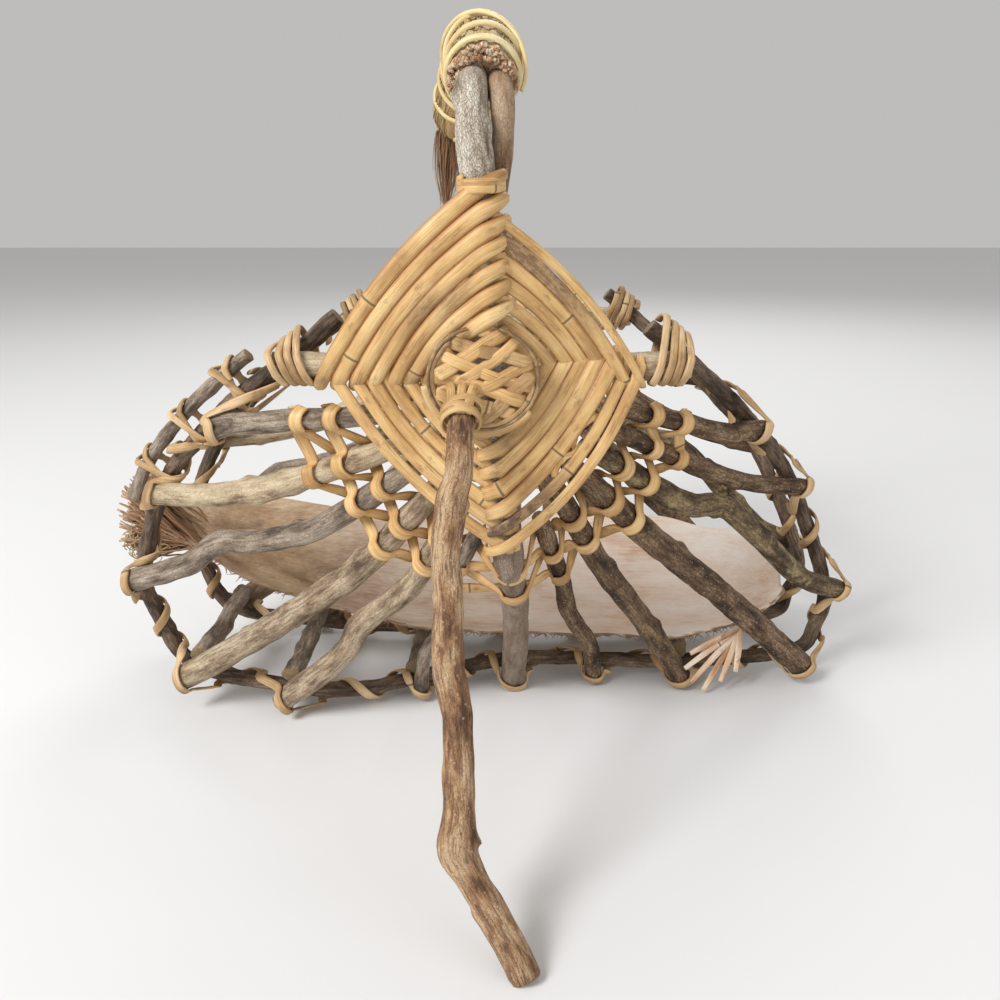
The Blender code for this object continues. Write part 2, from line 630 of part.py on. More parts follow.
# Second rod beside the front hoop, upper left
def make_rod(name, side, path):
    rows = []
    last = list(STATIONS).index("left_3") * HOOP_STEPS
    for k in range(4, last - 1, 2):
        along = unit(path[k + 1] - path[max(k - 1, 0)])
        away = unit(np.cross((0.0, side, 0.0), along)) * -1.0
        if away.dot((-1, 0, 1)) < 0:
            away = -away
        offset = HOOP_R + 2 * LACE_R + 2 * GAP + ROD_R + 1.4
        rows.append((*(path[k] + away * offset), ROD_R))
    rows = np.array(rows)
    return tube(name, rows[:, :3], rows[:, 3], VINE)


# Floor sticks: across the two hoops along the bottom, resting inside them
FLOOR_R = 5.4
FLOOR_AT = ("left_4", "left_5", "left_6", "right_5")


def make_floor_stick(name, station):
    ends = []
    for side in (FRONT, BACK):
        spot, along = hoop_station(paths[side], station)
        inward = unit(np.cross(along, (0.0, 1.0, 0.0)))
        inward *= math.copysign(1, inward.dot(np.array([0.0, 0.0, 110.0]) - spot))
        ends.append(spot + inward * (HOOP_R + GAP + FLOOR_R + 0.2))
    reach = unit(ends[0] - ends[1]) * 5.0
    rows = [ends[0] + reach, ends[0] * 0.6 + ends[1] * 0.4 + (1.0, 0.0, -0.8), ends[1] - reach]
    return tube(name, rows, (FLOOR_R, FLOOR_R * 0.95, FLOOR_R), BARK_GREY)


# Grip: husk round the two sticks, wound with thin cane, and its loose end
def make_grip(sticks):
    swell = [(-GRIP_REACH, HUSK_R - 1.5), (-GRIP_REACH + 8, HUSK_R)]
    swell += [(y, HUSK_R - 0.4) for y in (-60, -30, 0, 30, 60)]
    swell += [(GRIP_BACK - 8, HUSK_R), (GRIP_BACK, HUSK_R - 2)]
    husk = solid(tube("grip_husk", [grip_at(y) for y, _ in swell], [r for _, r in swell], HUSK, 3))
    for name, rows in sticks.items():
        past = rows[0] + (*unit(rows[0, :3] - rows[1, :3]), 0)
        rows = np.vstack([past, rows[1:]])
        cutter = helper(solid(tube(f"{name}_bore", rows[:, :3], rows[:, 3] + GAP, HUSK)))
        boolean(husk, cutter, "DIFFERENCE")
    steps = 10
    hold = (HUSK_R + 2 * GAP + LACE_R) / math.cos(math.pi / steps)
    points = []
    length = GRIP_REACH + GRIP_BACK - 14
    for k in range(BINDING_TURNS * steps + 1):
        a = 2 * math.pi * k / steps
        spot, _, up, right = grip_frame(6 - GRIP_REACH + length * k / (BINDING_TURNS * steps))
        points.append(spot + (right * math.sin(a) + up * math.cos(a)) * hold)
    least_gap("grip_binding", points, 2 * LACE_R)
    tube("grip_binding", points, LACE_R, CANE, 1)
    spot, ahead, up, right = grip_frame(GRIP_BACK)
    start = spot - right * 9.0 - up * 5.0 + ahead * (3 * GAP)
    tail = [(*start, 4.0), (*(start + ahead * 2.5), 6.0), (*(start + ahead * 6.0), 6.8)]
    tail += [(*(start + drop), r) for drop, r in [((-1.5, 10, -13), 7.2), ((-2.5, 12, -27), 6.0),
                                                  ((-3, 11, -40), 3.2), ((-3, 10, -46), 1.4)]]
    tail = smooth(tail, 2)
    tube("husk_tail", tail[:, :3], tail[:, 3], HUSK)


# Palm sheath: a stiff trough that lies across the basket on the floor sticks
# x, height of its floor, half width, rise of its front edge and of its back edge
SHEATH_T = 2.2
SHEATH_ROWS = [(-213, 98, 15, 6, 16), (-182, 82, 18, 4, 22), (-148, 63, 27, 6, 34), (-100, 44, 34, 10, 48),
               (-50, 32.5, 36, 10, 56), (0, 28.4, 36, 9, 60), (60, 28.0, 36, 8, 58), (113, 28.2, 35, 6, 56),
               (150, 34, 27, 5, 46), (172, 42.5, 16, 5, 34), (182, 49, 7, 4, 20)]


def make_sheath():
    mesh = bpy.data.meshes.new("palm_sheath")
    shape = bmesh.new()
    rows, across = smooth(SHEATH_ROWS, 2), 6
    bmesh.ops.create_grid(shape, x_segments=len(rows) - 1, y_segments=across, size=0.5)
    for vert in shape.verts:
        k = int(round((vert.co.x + 0.5) * (len(rows) - 1)))
        v = vert.co.y * 2
        x, floor, half, front, back = rows[k]
        rise = front * v * v if v < 0 else back * v ** 2.2
        y = half * (v * 1.12 if v > 0 else v)
        vert.co = (x * MM, (y + 1.0) * MM, (floor + rise) * MM)
    bmesh.ops.recalc_face_normals(shape, faces=shape.faces)
    shape.to_mesh(mesh)
    shape.free()
    sheath = link("palm_sheath", mesh, SHEATH, basket)
    modifier = sheath.modifiers.new("Thickness", "SOLIDIFY")
    modifier.thickness = SHEATH_T * MM
    modifier.offset = 0.0
    mesh.shade_smooth()


# Fringe: the sheath's torn front corner, poking out under a rib
FRINGE_ROOT = (150.0, -28.6, 37.0)
FRINGE_TIPS = [(117, -42, 27), (114, -44, 18), (118, -45, 9), (126, -44, 3), (136, -44, 9), (145, -43, 15)]


def make_fringe():
    pieces = []
    root = np.array(FRINGE_ROOT)
    for tip in FRINGE_TIPS:
        tip = np.array(tip, float)
        ahead = unit(tip - root)
        cross = unit(np.cross(ahead, (0.0, 1.0, 0.0)))
        normal = unit(np.cross(cross, ahead))
        spots = [root - ahead * 1.5, root * 0.45 + tip * 0.55 + (0, -1.0, 1.2), tip]
        pieces.append((spots, [normal] * 3, [cross] * 3, (3.4, 3.4, 2.0)))
    mesh = bpy.data.meshes.new("sheath_fringe")
    band_mesh(mesh, *pieces[0], 0.9)
    fringe = link("sheath_fringe", mesh, SHEATH, basket)
    for k, piece in enumerate(pieces[1:]):
        boolean(fringe, helper(band(f"fringe_strip_{k + 2}", *piece, 0.9, SHEATH)), "UNION")


# Build both ends
ground = ground_cutter()
paths, sticks = {}, {}
for side, end in ((FRONT, "front"), (BACK, "back")):
    path = paths[side] = hoop_path(side)
    tube(f"hoop_{end}", path, HOOP_R, VINE, 1)
    make_leg(f"leg_{end}", LEG if side == FRONT else BACK_LEG, side, ground)
    name = f"upright_{end}"
    sticks[name] = make_upright(name, side, path, HANDLE_X[side], BARK_GREY if side == FRONT else BARK_BROWN)
    make_crossbar(f"crossbar_{end}", side, BARK_PALE)
    make_eye(f"gods_eye_{end}", side, HANDLE_X[side])
    make_pad(f"eye_pad_{end}", side)
    for rib in ORDER:
        if rib != "keel":
            rows = rib_rows(rib, path, side)
            tube(f"rib_{end}_{rib}", rows[:, :3], rows[:, 3], RIBS[rib][5])
    for row in range(ROWS):
        make_weaver(f"weaver_{end}_{row + 1}", row, side, path)
    make_lacing(f"hoop_lacing_{end}", side, path)
    make_lashing(f"end_lashing_{end}_left", side, path, True)
    make_lashing(f"end_lashing_{end}_right", side, path, False)
make_rod("hoop_rod_front", FRONT, paths[FRONT])
for k, station in enumerate(FLOOR_AT):
    make_floor_stick(f"floor_stick_{k + 1}", station)
make_grip(sticks)
make_sheath()
make_fringe()

# The origin is the middle of the whole basket's footprint
bpy.context.view_layer.update()
graph = bpy.context.evaluated_depsgraph_get()
spots = np.array([vertex.co for obj in parts.objects if obj.type != "EMPTY"
                  for vertex in obj.evaluated_get(graph).to_mesh().vertices])
basket.location[:2] = -(spots.min(axis=0) + spots.max(axis=0))[:2] / 2
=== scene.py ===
"""Twig basket: crooked sticks bound with split cane, a woven diamond at each end, a palm sheath liner.

Lengths in the sections below are in millimetres, in the frame's axes, and become metres in strands().
"""
import math

import bpy
import numpy as np
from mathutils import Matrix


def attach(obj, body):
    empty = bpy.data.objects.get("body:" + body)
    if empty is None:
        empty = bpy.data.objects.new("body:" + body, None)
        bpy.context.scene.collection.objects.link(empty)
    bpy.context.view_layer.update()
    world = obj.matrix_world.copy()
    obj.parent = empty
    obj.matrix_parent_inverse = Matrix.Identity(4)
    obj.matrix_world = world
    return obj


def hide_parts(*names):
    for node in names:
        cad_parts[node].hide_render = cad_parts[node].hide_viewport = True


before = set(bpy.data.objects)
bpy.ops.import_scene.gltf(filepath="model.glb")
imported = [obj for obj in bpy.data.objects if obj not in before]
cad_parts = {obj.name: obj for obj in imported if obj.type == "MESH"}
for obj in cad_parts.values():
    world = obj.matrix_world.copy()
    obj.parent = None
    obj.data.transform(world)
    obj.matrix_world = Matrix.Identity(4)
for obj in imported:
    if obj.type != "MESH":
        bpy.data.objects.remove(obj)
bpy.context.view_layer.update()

# The basket's place
# The frame's origin is the middle of the whole footprint, so the sticks' own coordinates, which
# count from the crossing of the diamonds' arms, are moved by this much.
MM = 0.001
ORIGIN = np.array([-0.498, 0.490, 0.0])
FRONT, BACK = -1, 1
ENDS = ((FRONT, "front"), (BACK, "back"))

# Hoops
# Two hoops of dark, wrinkled vine run along the bottom, up both sides and in to the crossbars.
# Every stick of the basket ends on one of them, so their line is worked out first.
HOOP_OUT = 28.0
HOOP_R = 4.5
HOOP_FLOOR = 9.9
STATIONS = {
    "tip_left": (-74, 231, 56, 56), "top_left": (-95, 214, 56, 56),
    "left_1": (-138, 181, 47, 44), "left_2": (-181, 136, 22, 18), "left_3": (-201, 82, 18, 8),
    "bend_left": (-196, 44, 17, 6), "left_4": (-178, 12, 18, 4), "left_5": (-119, 3.6, 28, 0),
    "low_left": (-82, 0, 26, 0), "left_6": (-47, 1, 14, 0), "keel": (9, 3.5, -4, -2),
    "right_6": (61, 2, -7, 0), "right_5": (113, 2.1, -4, 4), "right_4": (187, 5, -12, 8),
    "bend_right": (200, 22, -13, 8), "right_3": (203, 60, -14, 8), "right_2": (171, 130, -4, 14),
    "right_1": (134, 174, 27, 36), "top_right": (93, 211, 55, 55), "tip_right": (74, 226, 56, 56),
}
PER = 12


def unit(v):
    """Arrows divided by their own length, so of length one, along the last axis."""
    return v / np.maximum(np.linalg.norm(v, axis=-1, keepdims=True), 1e-9)


def finer(rows, per):
    """Cubics through each pair of rows of many lines, their slopes taken from the rows on either side."""
    rows = np.concatenate([2 * rows[:, :1] - rows[:, 1:2], rows, 2 * rows[:, -1:] - rows[:, -2:-1]], axis=1)
    n = rows.shape[1] - 3
    a, b, c, d = (rows[:, k:k + n, None, :] for k in range(4))
    t = (np.arange(per) / per)[None, None, :, None]
    out = 0.5 * (2 * b + (c - a) * t + (2 * a - 5 * b + 4 * c - d) * t ** 2
                 + (3 * b - a - 3 * c + d) * t ** 3)
    return np.concatenate([out.reshape(len(rows), -1, rows.shape[-1]), rows[:, -2:-1]], axis=1)


def curve(rows, per):
    """The same cubics for one line."""
    return finer(np.asarray(rows, float)[None], per)[0]


def distances(line):
    """How far along a line each of its points lies."""
    return np.concatenate([[0], np.cumsum(np.linalg.norm(np.diff(line, axis=0), axis=1))])


def evenly(rows, step):
    """The same line with a row every step along it."""
    along = distances(rows[:, :3])
    marks = np.linspace(0, along[-1], max(3, int(along[-1] / step)))
    return np.column_stack([np.interp(marks, along, column) for column in rows.T])


def circle(count):
    """Angles of this many points spread evenly around."""
    return np.arange(count) * 2 * np.pi / count


def wander(s, a, seed, lengths, around, count=22):
    """Uneven height over a round surface: a sum of sine waves, each a whole number of times around."""
    dice = np.random.default_rng(seed)
    k = 2 * np.pi / dice.uniform(*lengths, count)
    m = dice.integers(around[0], around[1] + 1, count)
    phase = dice.uniform(0, 2 * np.pi, count)
    return np.sin(s[..., None] * k + a[..., None] * m + phase).sum(axis=-1) * math.sqrt(2 / count)


def strands(name, rings, grain, tone, material, node=None, slot=None, smooth=True):
    """Tubes from rings of points, shape (tubes, rings, around, 3), each end closed to its middle."""
    tubes, n, m = rings.shape[:3]
    caps = rings[:, [0, -1]].mean(axis=2)
    verts = np.concatenate([rings.reshape(tubes, n * m, 3), caps], axis=1).reshape(-1, 3)
    grain = np.concatenate([grain.reshape(tubes, n * m, 3), grain[:, [0, -1]].mean(axis=2)], axis=1)
    tone = np.concatenate([tone.reshape(tubes, n * m), tone[:, [0, -1]].mean(axis=2)], axis=1)
    i, j = np.meshgrid(np.arange(n - 1), np.arange(m), indexing="ij")
    k = (j + 1) % m
    walls = np.stack([i * m + j, i * m + k, (i + 1) * m + k, (i + 1) * m + j], axis=-1).reshape(-1, 4)
    j = np.arange(m)
    k = (j + 1) % m
    last = (n - 1) * m
    fans = np.concatenate([np.stack([np.full(m, n * m), k, j], axis=-1),
                           np.stack([np.full(m, n * m + 1), last + j, last + k], axis=-1)])
    starts = (np.arange(tubes) * (n * m + 2))[:, None, None]
    walls = (walls[None] + starts).reshape(-1, 4)
    fans = (fans[None] + starts).reshape(-1, 3)
    mesh = bpy.data.meshes.new(name)
    mesh.vertices.add(len(verts))
    mesh.vertices.foreach_set("co", ((verts + ORIGIN) * MM).ravel())
    corners = np.concatenate([walls.ravel(), fans.ravel()]).astype(np.int32)
    mesh.loops.add(len(corners))
    mesh.loops.foreach_set("vertex_index", corners)
    mesh.polygons.add(len(walls) + len(fans))
    mesh.polygons.foreach_set("loop_start", np.concatenate(
        [np.arange(len(walls)) * 4, walls.size + np.arange(len(fans)) * 3]).astype(np.int32))
    mesh.update(calc_edges=True)
    mesh.attributes.new("grain", "FLOAT_VECTOR", "POINT").data.foreach_set(
        "vector", (grain.reshape(-1, 3) * MM).ravel())
    mesh.attributes.new("tone", "FLOAT", "POINT").data.foreach_set("value", tone.ravel())
    if smooth:
        mesh.shade_smooth()
    piece = bpy.data.objects.new(name, mesh)
    bpy.context.scene.collection.objects.link(piece)
    mesh.materials.append(material)
    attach(piece, "root")
    if node:
        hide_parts(node)
    return piece


def put(tree, socket, value):
    """Sets an input to a value, or joins it to another node's output."""
    if isinstance(value, bpy.types.NodeSocket):
        tree.links.new(value, socket)
    else:
        socket.default_value = value


def add(tree, kind, inputs=None, **settings):
    """One shader node with its settings and inputs."""
    made = tree.nodes.new("ShaderNode" + kind)
    for key, value in settings.items():
        setattr(made, key, value)
    for key, value in (inputs or {}).items():
        put(tree, made.inputs[key], value)
    return made


def ramp(tree, value, stops):
    """Colours laid out between 0 and 1."""
    made = add(tree, "ValToRGB", {"Fac": value})
    elements = made.color_ramp.elements
    while len(elements) < len(stops):
        elements.new(0.5)
    for element, (place, colour) in zip(elements, stops):
        element.position = place
        element.color = (*colour, 1.0)
    return made.outputs["Color"]


def mix(tree, share, first, second, how="MIX"):
    """Two colours mixed by a share."""
    made = add(tree, "Mix", data_type="RGBA", blend_type=how)
    for k, value in ((0, share), (6, first), (7, second)):
        put(tree, made.inputs[k], (*value, 1.0) if isinstance(value, tuple) else value)
    return made.outputs[2]


def grained(tree, colour, pattern, share, dark, light):
    """A colour with a pattern laid over it in greys; dark and light are pairs of place and grey."""
    greys = [(place, (grey, grey, grey)) for place, grey in (dark, light)]
    return mix(tree, share, colour, ramp(tree, pattern, greys), "OVERLAY")


def dimmed(colour, share):
    """A colour times a share, or times one share for each of its parts."""
    return tuple((np.array(colour) * share).tolist())


def fade(tree, value, low=0.0, high=1.0, first=0.0, last=1.0):
    """A value carried over from the range low to high to the range first to last, and held beyond it."""
    return add(tree, "MapRange", {"Value": value, "From Min": low, "From Max": high, "To Min": first,
                                  "To Max": last}).outputs["Result"]


def noise(tree, place, scale, detail=4.0, roughness=0.55, distortion=0.0):
    """Cloudy noise at a place, with this many clouds a metre."""
    return add(tree, "TexNoise", {"Vector": place, "Scale": scale, "Detail": detail, "Roughness": roughness,
                                  "Distortion": distortion}).outputs["Fac"]


def stretched(tree, place, along, across=1.0):
    """A place with its share along the grain made small, so that a pattern is pulled out lengthwise."""
    return add(tree, "VectorMath", {0: place, 1: (along, across, across)}, operation="MULTIPLY").outputs[0]


def new_material(name):
    """A material, its nodes, and the grain and tone that strands() notes on each point."""
    material = bpy.data.materials.new(name)
    material.use_nodes = True
    tree = material.node_tree
    place = add(tree, "Attribute", attribute_name="grain").outputs["Vector"]
    return material, tree, place, add(tree, "Attribute", attribute_name="tone").outputs["Fac"]


def finished(material, colour, rough, height, strength, distance):
    """The material with its colour, roughness and bump joined to its shader."""
    tree = material.node_tree
    bump = add(tree, "Bump", {"Height": height, "Strength": strength, "Distance": distance})
    inputs = tree.nodes["Principled BSDF"].inputs
    for key, value in (("Base Color", colour), ("Roughness", rough), ("Normal", bump.outputs["Normal"])):
        put(tree, inputs[key], value)
    return material


def stem_bark(name, crease, body, pale, cut=(0.42, 0.29, 0.16), furrow=0.5, lichen=0.0, specks=0.0,
              rough=0.82, crackle=0.25, cell=430.0, below=None):
    """Bark: long furrows and cloudy patches over the body colour, and bare wood where tone is 1."""
    material, tree, place, tone = new_material(name)
    patches = noise(tree, stretched(tree, place, 0.35), 130, 6, 0.68)
    cracks = noise(tree, stretched(tree, place, 0.10), 700, 6, 0.7, 0.5)
    grit = noise(tree, place, 1500, 4, 0.7)
    colour = ramp(tree, patches, [(0.36, crease), (0.47, body), (0.60, pale)])
    colour = mix(tree, fade(tree, cracks, 0.40, 0.53, furrow, 0.0), colour, crease)
    sway = add(tree, "TexNoise", {"Vector": place, "Scale": 420.0}).outputs["Color"]
    sway = add(tree, "VectorMath", {0: sway, 1: (0.0012, 0.0012, 0.0012)}, operation="MULTIPLY").outputs[0]
    bent = add(tree, "VectorMath", {0: stretched(tree, place, 0.55), 1: sway}, operation="ADD").outputs[0]
    cells = add(tree, "TexVoronoi", {"Vector": bent, "Scale": cell},
                feature="DISTANCE_TO_EDGE").outputs["Distance"]
    split = fade(tree, cells, 0.02, 0.11, crackle, 0.0)
    colour = mix(tree, split, colour, dimmed(crease, 0.7))
    if below:
        start, tint = below
        along = add(tree, "SeparateXYZ", {"Vector": place}).outputs["X"]
        share = fade(tree, along, start, start + 0.06, 0.0, 0.72)
        colour = mix(tree, share, colour, mix(tree, patches, dimmed(tint, 0.5), tint))
    colour = grained(tree, colour, grit, 0.40, (0.34, 0.2), (0.66, 0.92))
    if lichen:
        spots = fade(tree, noise(tree, place, 95, 6, 0.7), 0.56, 0.64, 0.0, lichen)
        colour = mix(tree, spots, colour, (0.42, 0.34, 0.15))
    if specks:
        dots = add(tree, "TexVoronoi", {"Vector": place, "Scale": 330.0}).outputs["Distance"]
        colour = mix(tree, fade(tree, dots, 0.12, 0.22, specks, 0.0), colour, (0.52, 0.42, 0.30))
    rings = noise(tree, stretched(tree, place, 1.0), 900, 3, 0.5)
    wood = ramp(tree, rings, [(0.3, dimmed(cut, 0.6)), (0.7, cut)])
    colour = mix(tree, tone, colour, wood)
    shine = fade(tree, patches, first=rough + 0.1, last=rough - 0.12)
    height = add(tree, "Math", {0: cracks, 1: grit}, operation="ADD").outputs[0]
    height = add(tree, "Math", {0: height, 1: split}, operation="SUBTRACT").outputs[0]
    return finished(material, colour, shine, height, 0.8, 0.0008)


def stick(name, rows, facing, material, seed, node=None, slot=None, relief=0.35, wrinkle=0.18, flat=1.0,
          knots=2, around=36, step=1.6, ground=False):
    """A stick: a round section carried along a line of x, y, z, radius, with bumps, furrows and knots."""
    rows = evenly(rows, step)
    line, radius = rows[:, :3], rows[:, 3]
    ahead = unit(np.gradient(line, axis=0))
    facing = np.broadcast_to(np.asarray(facing, float), line.shape)
    up = unit(facing - ahead * (facing * ahead).sum(axis=1, keepdims=True))
    aside = np.cross(ahead, up)
    s = np.linspace(0, 1, len(line)) * step * len(line)
    a = circle(around)
    s2, a2 = np.broadcast_arrays(s[:, None], a[None, :])
    bumps = wander(s2, a2, seed, (14, 60), (0, 3)) * relief
    furrows = wander(s2, a2, seed + 1, (9, 50), (5, 13)) * wrinkle
    size = radius[:, None] + bumps + furrows
    dice = np.random.default_rng(seed + 2)
    for _ in range(knots):
        spot, turn = dice.uniform(0.12, 0.88) * s[-1], dice.uniform(0, 2 * np.pi)
        near = ((s2 - spot) / 3.6) ** 2 + ((np.angle(np.exp(1j * (a2 - turn)))) / 0.6) ** 2
        size += radius[:, None] * 0.22 * np.exp(-near)
    rings = (line[:, None] + up[:, None] * (np.cos(a) * size)[..., None]
             + aside[:, None] * (np.sin(a) * size * flat)[..., None])
    tips = [rings[0].mean(axis=0) + (rings[0] - rings[0].mean(axis=0)) * 0.86,
            rings[-1].mean(axis=0) + (rings[-1] - rings[-1].mean(axis=0)) * 0.86]
    rings = np.concatenate([tips[0][None] - ahead[0] * 0.3, rings, tips[1][None] + ahead[-1] * 0.3])
    if ground:
        rings[..., 2] = np.maximum(rings[..., 2], 0.0)
    s2 = np.vstack([s2[:1], s2, s2[-1:]])
    size = np.vstack([size[:1], size, size[-1:]])
    grain = np.stack([s2 + seed * 37.0, size * np.cos(a), size * np.sin(a)], axis=-1)
    tone = np.zeros(s2.shape)
    tone[[0, -1]] = 1.0
    return strands(name, rings[None], grain[None], tone[None], material, node, slot)


def hoop_line(side):
    """The hoop's middle line; it bears on the ground, so it keeps its own thickness above it."""
    rows = np.array([(x, HOOP_OUT + (near if side == FRONT else far), z + HOOP_FLOOR * (z < 60))
                     for x, z, near, far in STATIONS.values()], float)
    line = curve(rows, PER)
    line[:, 1] *= side
    line[:, 2] = np.maximum(line[:, 2], HOOP_FLOOR)
    return line


hoops = {side: hoop_line(side) for side, _ in ENDS}
vine = stem_bark("wrinkled dark vine", (0.040, 0.025, 0.016), (0.155, 0.100, 0.064), (0.27, 0.185, 0.120),
                 cut=(0.35, 0.24, 0.14), furrow=0.75, rough=0.75)
for side, end in ENDS:
    rows = np.column_stack([hoops[side], np.full(len(hoops[side]), HOOP_R + 0.1)])
    stick(f"hoop_{end}_vine", rows, (0, 1, 0), vine, 11 + side, f"hoop_{end}", "dark_vine",
          relief=0.16, wrinkle=0.22, flat=0.9, knots=12, around=32)

# Ribs
# Six crooked sticks on each side of an end, with the bark left on, run from behind the diamond to the
# outside of the hoop. Those on the left are sun-bleached, those on the right darker.
# name: angle from straight down at the inner end and at the woven fan's end, inner reach, radii, crooks
EYE_Z = 208.0
UPRIGHT_OUT = 111.0
UPRIGHT_R = 7.6
RIB_OUT = 94.0
KEEL_REACH, KEEL_X, KEEL_IN = 90.0, 7.0, 6.0
FAN_REACH = 126.0
RIBS = {
    "left_1": (-68, -77, 60, (4.8, 5.6, 6.2), [(0.5, 0, 1)]),
    "left_2": (-50, -60, 58, (4.8, 6.8, 6.0), [(0.5, 0, -3)]),
    "left_3": (-37, -47, 58, (4.8, 6.3, 6.4), [(0.3, 0, 2), (0.52, 2, 8), (0.7, 0, 0)]),
    "left_4": (-24, -33, 62, (4.8, 7.2, 7.6), [(0.35, 1, -2), (0.7, -1, -3)]),
    "left_5": (-13, -21, 72, (4.6, 6.4, 6.8), [(0.32, -2, 2), (0.55, 2, -2)]),
    "left_6": (-6, -12, 84, (3.8, 4.2, 4.2), [(0.3, 3, -2), (0.7, -2, 3)]),
    "keel": (4, 5, KEEL_REACH, (UPRIGHT_R, 7.2, 7.4), [(0.5, 1, 0)]),
    "right_6": (17, 17, 78, (4.2, 4.8, 5.2), [(0.3, -2, 0), (0.7, 3, 1)]),
    "right_5": (27, 27.5, 64, (4.8, 6.4, 6.4), [(0.5, 1, 1)]),
    "right_4": (38, 41.5, 60, (4.8, 7.4, 7.6), [(0.5, 1, 1)]),
    "right_3": (50, 53, 60, (4.8, 6.4, 5.8), [(0.25, -1, 11), (0.55, 2, -1), (0.75, 0, -5)]),
    "right_2": (62, 62, 60, (4.6, 5.0, 4.8), [(0.5, 0, -3)]),
    "right_1": (73, 72.5, 60, (4.6, 5.0, 5.4), [(0.5, 1, 1)]),
}
ORDER = [name for name in STATIONS if name in RIBS]


def hoop_way(side, k):
    """Direction of the hoop at its row k, from two rows before it to two rows after it."""
    line = hoops[side]
    return unit(line[min(k + 2, len(line) - 1)] - line[max(k - 2, 0)])


def hoop_at(side, name):
    """Point of the hoop at a station, and its direction there."""
    k = list(STATIONS).index(name) * PER
    return hoops[side][k], hoop_way(side, k)


def front_of(along, side):
    """Arrow to the outside of an end, square to a direction."""
    return unit(np.array([0.0, side, 0.0]) - along * along[1] * side)


def rib_ends(name, side):
    """Inner end, end of the woven fan, and seat outside the hoop."""
    angles, reach, radii = RIBS[name][:2], RIBS[name][2], RIBS[name][3]
    out = UPRIGHT_OUT - KEEL_IN if name == "keel" else RIB_OUT
    polar = [np.array([r * math.sin(math.radians(a)), side * out, EYE_Z - r * math.cos(math.radians(a))])
             for a, r in zip(angles, (reach, FAN_REACH))]
    inner, far = polar
    if name == "keel":
        inner = np.array([KEEL_X, side * out, EYE_Z - KEEL_REACH])
    hoop, along = hoop_at(side, name)
    seat = hoop
    for _ in range(3):
        near, rest = np.linalg.norm((far - inner)[[0, 2]]), np.linalg.norm((seat - far)[[0, 2]])
        far[1] = inner[1] + (seat[1] - inner[1]) * near / (near + rest)
        normal = unit(np.cross(along, seat - far))
        normal *= math.copysign(1, normal[1] * side)
        seat = hoop + normal * (HOOP_R + radii[2] + 0.3)
    return inner, far, seat, normal


def rib_rows(name, side):
    """Rows of a rib: from its inner end over the fan's end and its crooks to just past the hoop."""
    radii, crooks = RIBS[name][3:5]
    inner, far, seat, _ = rib_ends(name, side)
    rows = [(*far, radii[1])]
    for t, dx, dz in crooks:
        rows.append((*(far + (seat - far) * t + (dx, 0, dz)), radii[1] + (radii[2] - radii[1]) * t))
    rows.append((*seat, radii[2]))
    if len(crooks) == 1:
        rows = curve(rows, 2)
    rows = np.array(rows)
    tip = seat + unit(rows[-1, :3] - rows[-2, :3]) * 2.2
    near = inner + (far - inner) * 0.35
    return np.vstack([(*inner, radii[0]), (*near, radii[0] * 0.35 + radii[1] * 0.65), rows,
                      (*tip, radii[2] * 0.97)])


grey = stem_bark("sun-bleached bark", (0.085, 0.062, 0.045), (0.285, 0.215, 0.155), (0.47, 0.385, 0.30),
                 furrow=0.6, lichen=0.15, crackle=0.22, cell=640.0)
pale = stem_bark("peeled stick", (0.20, 0.135, 0.075), (0.52, 0.40, 0.25), (0.68, 0.56, 0.38),
                 furrow=0.35, rough=0.7, crackle=0.15)
tan = stem_bark("tan bark", (0.095, 0.062, 0.038), (0.33, 0.235, 0.145), (0.57, 0.45, 0.31),
                furrow=0.6, crackle=0.22, cell=640.0)
brown = stem_bark("dark bark", (0.032, 0.017, 0.009), (0.155, 0.088, 0.046), (0.33, 0.215, 0.12),
                  furrow=0.5, specks=0.45, crackle=0.5, cell=480.0)
mossy = stem_bark("dark bark with lichen", (0.032, 0.018, 0.009), (0.150, 0.095, 0.050),
                  (0.33, 0.24, 0.125), furrow=0.5, lichen=0.75, crackle=0.5, cell=480.0)
OWN_BARK = {"left_2": (pale, "peeled_stick"), "left_4": (tan, "bark_grey"), "left_5": (tan, "bark_grey"),
            "right_3": (mossy, "bark_brown")}
for side, end in ENDS:
    for number, rib in enumerate(ORDER):
        if rib == "keel":
            continue
        usual = (grey, "bark_grey") if rib.startswith("left") else (brown, "bark_brown")
        finish, slot = OWN_BARK.get(rib, usual)
        stick(f"rib_{end}_{rib}_stick", curve(rib_rows(rib, side), 6), (0, side, 0), finish,
              100 + 20 * number + side, f"rib_{end}_{rib}", slot, knots=4, relief=0.2, wrinkle=0.08)

# Handle sticks
# At each end one stick is the middle rib, the upright arm of the diamond and half of the handle in one: it
# rises past the diamond and is bent over into the grip. The far one runs through the whole grip, and its
# thin end comes down beside the near one. The near stick has cracked grey bark, the far one is smooth.
HANDLE_Z = 353.0
HANDLE_X = {FRONT: -8.0, BACK: -13.0}
GRIP_REACH, GRIP_BACK, GRIP_RISE = 92.0, 88.0, 23.0
GRIP_LEFT, GRIP_LEAN, GRIP_SWEEP = -8.6, 8.2, 4.0
